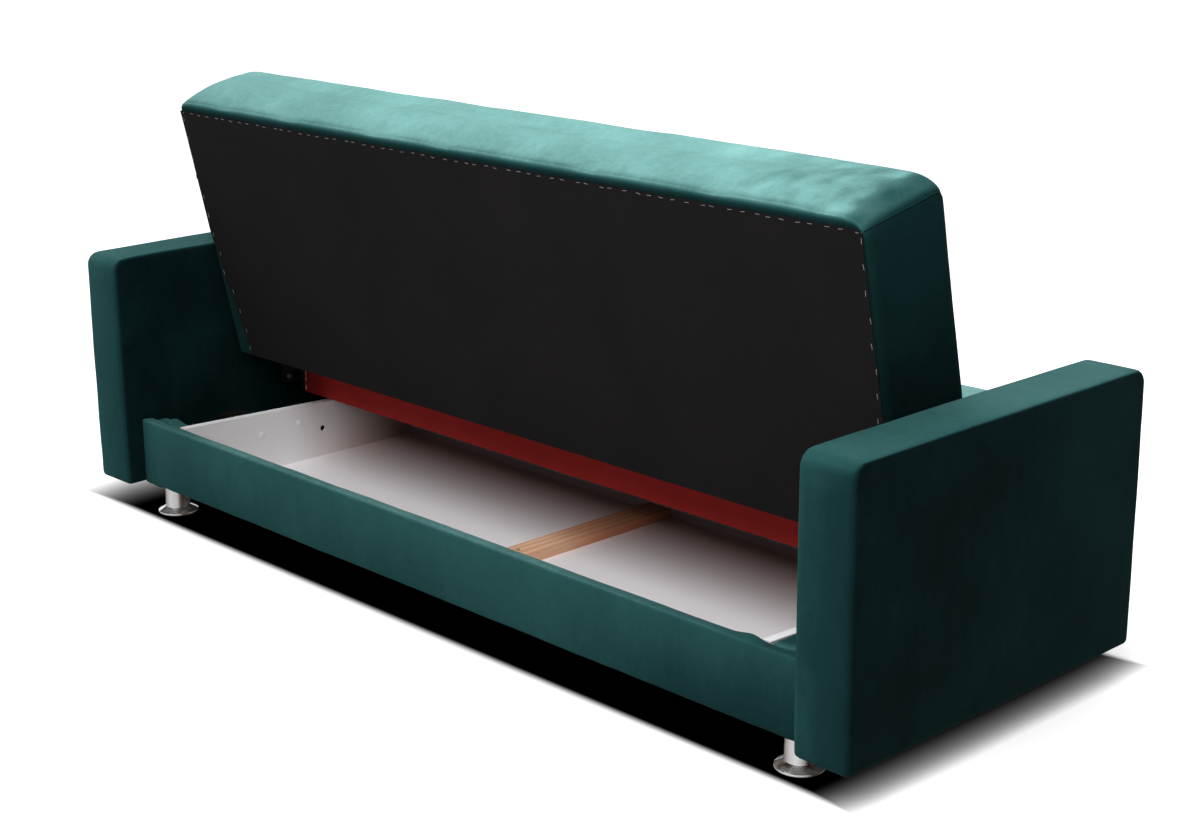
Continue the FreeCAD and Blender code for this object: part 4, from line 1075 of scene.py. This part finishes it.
def crowned(obj, length, thickness, crown, rises, drops):
    """Crown the face and the far border, and roll both down to the end seams.

    rises are how high the far border stands in the middle, at the left and at the right end.
    drops are how deep it rolls down at the left and right end, and the face at both.
    """
    border_out, face_out = swollen(obj, length, thickness)
    print(f"{obj.name}: border {border_out / MM:.1f} mm, face {face_out / MM:.1f} mm out")
    left_drop, right_drop, face_drop = drops

    def shape(place, normal):
        out = abs(place.x) / HALF_WIDTH
        steep = min(1.0, max(0.0, 1 - (HALF_WIDTH - abs(place.x)) / ROLL_WIDTH))
        roll = 1 - math.sqrt(1 - steep * steep)
        far = ease(place.y, length - BORDER_DEPTH, length - 10 * MM)
        broad = ease(place.z, thickness * 0.45, thickness - 12 * MM)
        across = share(place.y, 0, length)
        swell = math.sin(math.pi / 2 * min(1.0, place.z / (thickness * 0.55)))
        end_rise = rises[1] if place.x > 0 else rises[2]
        up = (rises[0] + (end_rise - rises[0]) * out ** 2 - border_out) * swell
        up -= (left_drop if place.x > 0 else right_drop) * roll
        forth = (crown - face_out) * (1 - out ** 4) * max(0.0, 1 - across ** 2) - face_drop * roll
        draw = max(0.0, -normal.y) * (1 - out ** 2) * SIDE_DRAW
        return Vector((0, far * up + draw, broad * forth))

    return each_point(obj, shape)


def pulled(obj, seed, tight):
    """Puckers: the far border is pulled to its staples, and its right corner folds a little."""

    def shape(place, normal):
        out = HALF_WIDTH - abs(place.x)
        border = max(0.0, normal.y)
        depth = place.z
        hold = sum(bell(place.x, spot, PULL_WIDTH) for spot in tight)
        hold *= bell(depth, 0, 0.030) * border * PULL_DEPTH
        slant = Vector((place.x * 0.8 + depth * 0.9, 0, place.x * 0.25 - depth * 0.6))
        folds = ripple(slant, 0.034, seed + 2) * math.exp(-out / 0.09) * 1.3 * MM * border
        uneven = unevenness(place, [(0.17, 1.8 * MM, seed), (0.06, 0.8 * MM, seed + 4)])
        on_end = 1 - 0.75 * ease(abs(normal.x), 0.6, 0.95)
        free = min(1.0, depth / 0.03) * (1 - ease(-normal.y, 0.1, 0.6))
        return normal * ((folds * free + uneven * free * on_end) - hold)

    return each_point(obj, shape)


def tucked(obj):
    """Hold the crease side back, so that it stays behind its lining."""
    return each_point(obj, lambda place, normal: Vector((0, max(0.0, TUCK - place.y), 0)))


def cushion(name, node, body, place, length, thickness, crown, rises, drops, panel_tones, drift,
            seed, tight):
    obj = cushion_block(name, length, thickness)
    inflate(obj, 4.0)
    crowned(obj, length, thickness, crown, rises, drops)
    relax(obj, 0.5, 2)
    pulled(obj, seed, tight)
    finish_with(obj, "SUBSURF", levels=1, render_levels=1)
    tucked(obj)
    lay_nap_and_light(obj, panel_tones, drift)
    obj.data.transform(place)
    if place.determinant() < 0:
        obj.data.flip_normals()
    smooth(obj, 60)
    return dress(obj, body, VELVET, "velvet", node)


# %% Back cushion
BACK_PULLS = [-0.86, -0.62, -0.33, 0.06, 0.27, 0.55, 0.78]
BACK_DROPS = (12 * MM, 31 * MM, 0.0)
BACK_RISES = (17 * MM, 21 * MM, 13 * MM)


def back_drift(place, normal):
    """Painted light and shade: the top is darker to the right, to the rear edge and where it
    rolls down to the end seam, with streaks of painted wrinkle shade near the right end and
    lighter spots at the pulls; paler on the rear face under the top edge and on the end panels.
    """
    on_top = max(0.0, normal.y) ** 2
    to_right = ease(place.x, -0.60, -0.82) * ease(place.z, 0.02, 0.08)
    deeper = 0.45 * (place.z - 0.12)
    streak_slant = Vector((place.x * 1.2 + place.z * 0.5, 0, place.z * 0.8 - place.x * 0.3))
    wander = 0.020 * ripple(streak_slant, 0.045, 17.0)
    roll_off = 0.37 * ease(place.x + wander, -HALF_WIDTH + 0.048, -HALF_WIDTH + 0.004)
    fold_streaks = 0.085 * ripple(streak_slant, 0.034, 6.0) * ease(place.x, -0.50, -0.80)
    fold_streaks += 0.05 * ripple(streak_slant, 0.075, 9.0) * ease(place.x, 0.1, -0.6)
    rear = ease(place.z, 0.020, 0.002)
    dips = sum(bell(place.x, spot, PULL_WIDTH) for spot in BACK_PULLS)
    top = -0.11 * to_right + deeper - roll_off + fold_streaks + rear * (0.05 * dips - 0.12)
    under_edge = 0.42 * ease(place.y, BACK_HEIGHT - 0.017, BACK_HEIGHT - 0.003)
    under_edge *= ease(-normal.z, 0.5, 0.95)
    on_end = ease(abs(normal.x), 0.7, 0.98)
    end = 0.10 * ease(place.y, 0.25, 0.56) + 0.08 * ease(place.z, 0.03, 0.0)
    return on_top * top + on_end * end + under_edge


# Each face's tone is pile and painted light: the top border and front face pale, the ends and the
# rear side near black.
BACK_PANELS = [((0, 1, 0), 0.915), ((0, 0.80, -0.6), 0.86), ((0, 0.25, -0.97), 0.13),
               ((0, 0, 1), 0.80), ((0, -1, 0), 0.20), ((1, 0, 0), 0.05), ((-1, 0, 0), 0.04),
               ((-0.6, 0.8, 0), 0.80), ((0.6, 0.8, 0), 0.86), ((0, 0, -1), 0.10)]
back = cushion("back_cushion_velvet", "back_cushion", "back", BACK_FRAME, BACK_HEIGHT,
               BACK_THICKNESS, crown=14 * MM, rises=BACK_RISES, drops=BACK_DROPS,
               panel_tones=BACK_PANELS, drift=back_drift, seed=11.0, tight=BACK_PULLS)

# %% Seat cushion
SEAT_DROPS = (22 * MM, 22 * MM, 10 * MM)
SEAT_RISES = (10 * MM, 9 * MM, 9 * MM)
# Each face's tone is pile and painted light: the top pale, the ends near black.
SEAT_PANELS = [((0, 1, 0), 0.40), ((0, 0, 1), 0.98), ((0, -1, 0), 0.20),
               ((1, 0, 0), 0.07), ((-1, 0, 0), 0.07), ((0, 0, -1), 0.1)]
seat = cushion("seat_cushion_velvet", "seat_cushion", "seat", SEAT_FRAME, SEAT_LENGTH,
               SEAT_THICKNESS, crown=12 * MM, rises=SEAT_RISES, drops=SEAT_DROPS,
               panel_tones=SEAT_PANELS, drift=None, seed=23.0, tight=[])

# %% [markdown]
# Each end panel is sewn in, so a seam runs round it. It is a fine cord along the edge, laid on
# the skin by asking for the skin's nearest point to each place of the route.

# %% End seams
SEAM_RADIUS = 1.3 * MM
SEAM_STEPS = 10
SEAM_LIFT = 8 * MM


def corner_arc(centre, radius, start):
    """A quarter turn in the end panel's plane, from a start angle in degrees."""
    turns = [math.radians(start + 90 * step / SEAM_STEPS) for step in range(SEAM_STEPS + 1)]
    return [(centre[0] + radius * math.cos(turn), centre[1] + radius * math.sin(turn))
            for turn in turns]


def end_route(length, thickness, drop, face_drop):
    """The seam's places (along, depth) round an end panel, open on its flat side."""
    far, face = length - drop, thickness - face_drop
    nose = corner_arc((far - NOSE_EDGE, face - NOSE_EDGE), NOSE_EDGE, 0)
    crease = corner_arc((CREASE_EDGE, face - CREASE_EDGE), CREASE_EDGE, 90)
    return [(far, 3 * MM)] + nose + crease + [(0, 3 * MM)]


def dense(route, step=12 * MM):
    """The same route with places at an even small step."""
    places = []
    for (y0, z0), (y1, z1) in zip(route, route[1:]):
        count = max(1, round(math.hypot(y1 - y0, z1 - z0) / step))
        places += [(y0 + (y1 - y0) * n / count, z0 + (z1 - z0) * n / count)
                   for n in range(count)]
    return places + [route[-1]]


def seam_cord(name, skin, places):
    data = bpy.data.curves.new(name, "CURVE")
    data.dimensions = "3D"
    data.bevel_depth = SEAM_RADIUS
    data.bevel_resolution = 1
    data.use_fill_caps = True
    spline = data.splines.new("POLY")
    spline.points.add(len(places) - 1)
    for point, place in zip(spline.points, places):
        near = skin.closest_point_on_mesh(place)[1]
        point.co = (*near, 1)
    select_only(in_scene(bpy.data.objects.new(name, data)))
    bpy.ops.object.convert(target="MESH")
    return bpy.context.object


def end_seams(name, skin, body, place, length, thickness, drops):
    cords = []
    for side, drop in ((1, drops[0]), (-1, drops[1])):
        route = dense(end_route(length, thickness, drop - SEAM_LIFT, drops[2]))
        spots = [place @ Vector((side * HALF_WIDTH, y, z)) for y, z in route]
        cords.append(seam_cord("seam", skin, spots))
    obj = join(name, cords)
    # Painted light as on the velvet: the cord's tone is set by the way it faces.
    lay_nap_and_light(obj, [((0, 0, 1), 0.34), ((0, 1, 0), 0.30), ((0, -1, 0), 0.30), ((0, 0, -1), 0.1)])
    return dress(smooth(obj, 60), body, VELVET, "velvet")


end_seams("back_end_seams", back, "back", BACK_FRAME, BACK_HEIGHT, BACK_THICKNESS, BACK_DROPS)
end_seams("seat_end_seams", seat, "seat", SEAT_FRAME, SEAT_LENGTH, SEAT_THICKNESS, SEAT_DROPS)

# %% [markdown]
# The velvet is wrapped round the wooden frame and stapled to its rear, so each cushion has a
# hollow for the frame, with a thin lip of cloth over the frame's outer rear edge. Two plain
# blocks are cut out of the skin: first the open field between the lips, then the frame's room.

# %% Hollow a cushion for its frame
FRAME_DEPTH = 72 * MM
FRAME_WALL = 9.7 * MM
BACK_FRAME_TOP = 566 * MM
LIP = 34 * MM
LIP_THICKNESS = 0.8 * MM


def hollowed(obj, length, place):
    """Cut the open field and the room of the frame, given in the cushion's own frame."""
    inner, far = HALF_WIDTH - FRAME_WALL, length - FRAME_WALL
    field = (LIP - inner, FRAME_WALL + LIP, -6 * MM), (inner - LIP, far - LIP, FRAME_DEPTH)
    room = (-inner, FRAME_WALL, LIP_THICKNESS), (inner, far, FRAME_DEPTH)
    for number, (low, high) in enumerate((field, room)):
        tool = box_piece(f"{obj.name}_tool_{number}", low, high)
        tool.data.transform(place)
        if place.determinant() < 0:
            tool.data.flip_normals()
        finish_with(obj, "BOOLEAN", operation="DIFFERENCE", object=tool, solver="EXACT")
        bpy.data.objects.remove(tool)
    return obj


hollowed(back, BACK_FRAME_TOP + FRAME_WALL, BACK_FRAME)
hollowed(seat, SEAT_LENGTH, SEAT_FRAME)
print("cushions:", [len(piece.data.polygons) for piece in (back, seat)])

# %% [markdown]
# ## Linings
#
# Black spun lining closes the back's rear, a red strip the seat's rear, and black lining the
# seat's underside. Each is a single stretched sheet: a grid that is fitted to its outline and
# left to ripple faintly, then made thick; the back's is also pulled in a little at each staple.

# %% A stretched sheet from a grid
SHEET_THICKNESS = 0.7 * MM


def grid_sheet(name, width, height, cell):
    """A flat sheet with its lower left corner at the origin, in square cells."""
    select_only()
    across, up = round(width / cell), round(height / cell)
    bpy.ops.mesh.primitive_grid_add(x_subdivisions=across, y_subdivisions=up, size=1,
                                    location=(width / 2, height / 2, 0))
    obj = bpy.context.object
    obj.name = obj.data.name = name
    obj.scale = (width, height, 1)
    return settle(obj)


def thicken(obj, thickness=SHEET_THICKNESS):
    return finish_with(obj, "SOLIDIFY", thickness=thickness, offset=0)


# %% Black lining on the back
LINING_LEFT, LINING_RIGHT = -938 * MM, 938 * MM
LINING_FOOT, LINING_TOP = 4 * MM, 571 * MM
WEDGE_WIDTH, WEDGE_TOP = 47 * MM, 290 * MM
LINING_PROUD = 0.9 * MM


def even_row(first, last, count):
    return [first + (last - first) * step / (count - 1) for step in range(count)]


TOP_ROW = even_row(LINING_LEFT + 12 * MM, LINING_RIGHT - 12 * MM, 63)
SIDE_ROW = even_row(LINING_FOOT + 15 * MM, LINING_TOP - 19 * MM, 13)


def lining_right(up):
    """The right outline: upright above, cut off slantwise below."""
    slope = max(0.0, (WEDGE_TOP - up) / (WEDGE_TOP - LINING_FOOT))
    return LINING_RIGHT - WEDGE_WIDTH * slope


def between_staples(value, row):
    """From 0 at a staple to 1 halfway between two."""
    pitch = row[1] - row[0]
    return 0.5 - 0.5 * math.cos(2 * math.pi * (value - row[0]) / pitch)


def back_lining():
    width, height = LINING_RIGHT - LINING_LEFT, LINING_TOP - LINING_FOOT
    obj = grid_sheet("back_lining_cloth", width, height, 8 * MM)

    def shape(place, _):
        u, up = place.x / width, LINING_FOOT + place.y
        x = LINING_LEFT + (lining_right(up) - LINING_LEFT) * u
        from_top = LINING_TOP - up
        from_side = min(x - LINING_LEFT, lining_right(up) - x)
        top_gap = between_staples(x, TOP_ROW)
        side_gap = between_staples(up, SIDE_ROW)
        recede_top = 1.6 * MM * top_gap * math.exp(-from_top / (12 * MM))
        recede_side = 1.4 * MM * side_gap * math.exp(-from_side / (12 * MM))
        inward = 1 if x < 0 else -1
        lift = 0.9 * MM * (top_gap * math.exp(-from_top / (40 * MM))
                           + side_gap * math.exp(-from_side / (40 * MM)))
        slow = ripple(Vector((x, up * 1.6, 0)), 0.32, 7.0) * 1.1 * MM
        calm = min(1.0, min(from_top, from_side, up) / (60 * MM))
        proud = LINING_PROUD + lift + max(0.0, slow) * calm
        return Vector((x + inward * recede_side, up - recede_top, -proud)) - place

    each_point(obj, shape)
    thicken(obj)
    obj.data.transform(BACK_FRAME)
    smooth(obj, 60)
    return dress(obj, "back", LINING, "black_lining", "back_lining")


back_lining()

# %% Red strip behind the seat, and black lining under it
RED_LOW, RED_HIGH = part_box("seat_rear_lining")
UNDER_LOW, UNDER_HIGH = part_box("seat_bottom_lining")


def seat_sheet(name, width, height, cell, thickness, lie, *looks):
    """A stretched sheet on the seat. lie turns a point's flat place into its real one."""
    obj = grid_sheet(name, width, height, cell)
    each_point(obj, lambda flat, _: lie(flat) - flat)
    obj.data.flip_normals()
    thicken(obj, thickness)
    smooth(obj, 60)
    return dress(obj, "seat", *looks)


def lie_behind(flat):
    x, up = RED_LOW.x + flat.x, RED_LOW.z + flat.y
    wave = ripple(Vector((x, up * 0.4, 0)), 0.11, 2.5) * 0.8 * MM
    sag = -0.9 * MM * (0.5 + 0.5 * ripple(Vector((x, 0, 0)), 0.21, 6.0))
    sag *= 1 - flat.y / (RED_HIGH.z - RED_LOW.z)
    return Vector((x, RED_HIGH.y + 0.5 * MM + max(0.0, wave), up + sag))


def lie_under(flat):
    x, y = UNDER_LOW.x + flat.x, UNDER_LOW.y + flat.y
    wave = ripple(Vector((x, y, 0)), 0.2, 9.0) * 0.3 * MM
    return Vector((x, y, (UNDER_LOW.z + UNDER_HIGH.z) / 2 + wave))


seat_sheet("seat_rear_strip", RED_HIGH.x - RED_LOW.x, RED_HIGH.z - RED_LOW.z, 7 * MM,
           SHEET_THICKNESS, lie_behind, RED_CLOTH, "red_lining", "seat_rear_lining")
seat_sheet("seat_bottom_cloth", UNDER_HIGH.x - UNDER_LOW.x, UNDER_HIGH.y - UNDER_LOW.y,
           16 * MM, 0.4 * MM, lie_under, LINING, "black_lining", "seat_bottom_lining")

# %% [markdown]
# ## Staples
#
# A staple is one bent wire: a flat crown and two legs, of which only the crown shows. One is
# modelled and copied along the lining's edges. A hand holds the stapler, so no two sit quite
# alike, and a seeded random turn and shift does the same here.

# %% One staple, and rows of them
CROWN_WIDTH, CROWN_THICKNESS, LEG_DEPTH = 10 * MM, 1.1 * MM, 4 * MM


def staple():
    """A staple that lies along X on the plane Z zero, with its legs below."""
    half = CROWN_WIDTH / 2
    obj = box_piece("staple", (-half, -CROWN_THICKNESS / 2, -0.2 * MM),
                    (half, CROWN_THICKNESS / 2, 0.8 * MM))
    for cut in (-half + CROWN_THICKNESS, half - CROWN_THICKNESS):
        pick(obj, "FACE", lambda face: True)
        bpy.ops.mesh.bisect(plane_co=(cut, 0, 0), plane_no=(1, 0, 0))
        leave_edit()

    def leg_foot(face):
        return face.normal.z < -0.9 and abs(face.calc_center_median().x) > half - CROWN_THICKNESS

    pick(obj, "FACE", leg_foot)
    bpy.ops.mesh.extrude_region_move(TRANSFORM_OT_translate={"value": (0, 0, -LEG_DEPTH)})
    leave_edit()
    bevel_edges(obj, lambda edge: middle(edge).z > 0.7 * MM, 0.35 * MM, 2)
    return obj


def staple_row(pattern, name, places):
    """Copies of a staple, one for each place matrix, joined to one piece."""
    copies = []
    for place in places:
        copy = in_scene(bpy.data.objects.new(name, pattern.data.copy()))
        copy.data.transform(place)
        copies.append(copy)
    bpy.data.objects.remove(pattern)
    return join(name, copies)


def back_staples():
    dice = random.Random(41)
    places = []
    surface = -(LINING_PROUD + SHEET_THICKNESS / 2)

    def put(x, up, turn):
        turn += math.radians(dice.uniform(-9, 9))
        spot = Vector((x + dice.uniform(-7, 7) * MM, up + dice.uniform(-1.2, 1.2) * MM, surface))
        places.append(BACK_FRAME @ Matrix.Translation(spot) @ Matrix.Rotation(math.pi, 4, "X")
                      @ Matrix.Rotation(turn, 4, "Z"))

    for x in TOP_ROW:
        put(x, LINING_TOP - 5.5 * MM, 0)
    for up in SIDE_ROW:
        put(LINING_LEFT + 6 * MM, up, math.pi / 2)
        put(lining_right(up) - 6 * MM, up, math.pi / 2)
    obj = staple_row(staple(), "back_lining_staples", places)
    return dress(smooth(obj), "back", DULL_ZINC, "zinc_steel", "back_staples")


def strip_staples():
    dice = random.Random(7)
    pattern = staple()
    pattern.data.transform(Matrix.Diagonal((1.0, 2.4, 1.2, 1)))
    places = []
    for side in (-1, 1):
        for up in (212 * MM, 232 * MM, 245 * MM, 290 * MM):
            turn = math.pi / 2 + math.radians(dice.uniform(-12, 12))
            spot = Vector((side * (RED_HIGH.x - 5 * MM), RED_HIGH.y + 0.9 * MM, up))
            places.append(Matrix.Translation(spot) @ Matrix.Rotation(-math.pi / 2, 4, "X")
                          @ Matrix.Rotation(turn, 4, "Z"))
    obj = staple_row(pattern, "seat_strip_staples", places)
    return dress(smooth(obj), "seat", GOLD, "zinc_steel", "seat_staples")


back_staples()
strip_staples()

# %% [markdown]
# ## Cover caps
#
# The side boards have a blind hole on each side that is closed with a small pale plastic cap.

# %% Caps on the side boards
BOX_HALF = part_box("box_side_left")[0].x
CAP_DEPTH = 2.4 * MM
# Each kind's radius, its place along Y and Z, and how far it stands proud
CAPS = [("side_board_caps", CAP_PLASTIC, 6.5 * MM, 96.4 * MM, 160 * MM, 1.8 * MM),
        ("bolt_caps", WHITE_BOARD, 7.6 * MM, 199 * MM, 150 * MM, 0.5 * MM)]


def cover_cap(side, radius, y, z, proud):
    """A disc on the box side's inner face that stands proud by a little."""
    select_only()
    x = side * (BOX_HALF + CAP_DEPTH / 2 - proud)
    bpy.ops.mesh.primitive_cylinder_add(vertices=28, radius=radius, depth=CAP_DEPTH,
                                        location=(x, y, z), rotation=(0, math.pi / 2, 0))
    obj = settle(bpy.context.object)
    bevel_edges(obj, lambda edge: reach_x(edge) < 0.1 * MM
                and abs(edge.verts[0].co.x) < BOX_HALF, 0.8 * MM, 3)
    return smooth(obj)


for name, material, *numbers in CAPS:
    dress(join(name, [cover_cap(side, *numbers) for side in (1, -1)]), "root", material,
          "chipboard")

# %% [markdown]
# ## Facing board
#
# The velvet of the front rail ends inside the box under a thin board, tacked over it, which
# lies in the shade of the seat; that shade is painted into its colour. It is a plate with
# softened edges.

# %% Facing board inside the front rail
RAIL_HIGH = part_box("front_rail_cover")[1]
FLOOR_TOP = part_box("floor_sheet_left")[1].z
FACING_HALF = BOX_HALF - 0.5 * MM
facing = box_piece("front_facing_board",
                   (-FACING_HALF, RAIL_HIGH.y + 0.2 * MM, FLOOR_TOP + 0.3 * MM),
                   (FACING_HALF, RAIL_HIGH.y + 2.7 * MM, RAIL_HIGH.z - 8 * MM))
bevel_edges(facing, lambda edge: True, 0.4 * MM, 2)
dress(smooth(facing), "root", FACING_BOARD_PAINTED_DARK, "chipboard")

# %% [markdown]
# ## Slat screws
#
# The slat is screwed down at each end. A countersunk head sits just under the surface, so it
# shows as a small dark dot: a disc with a stepped rim and a hollow pressed into it.

# %% Screw heads in the slat
SLAT_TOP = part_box("centre_slat")[1].z
SCREW_PLACES = [(6 * MM, 176 * MM), (-4 * MM, -330 * MM)]
SCREW_RADIUS = 4 * MM


def screw_head(x, y):
    select_only()
    bpy.ops.mesh.primitive_cylinder_add(vertices=24, radius=SCREW_RADIUS, depth=1.6 * MM,
                                        location=(x, y, SLAT_TOP - 0.4 * MM))
    obj = settle(bpy.context.object)
    pick(obj, "FACE", lambda face: face.normal.z > 0.9)
    bpy.ops.mesh.inset(thickness=0.7 * MM)
    bpy.ops.mesh.inset(thickness=1.6 * MM)
    bpy.ops.transform.translate(value=(0, 0, -0.8 * MM))
    leave_edit()
    return smooth(obj)


screws = join("slat_screws", [screw_head(*place) for place in SCREW_PLACES])
dress(screws, "root", BLACK_STEEL, "zinc_steel")
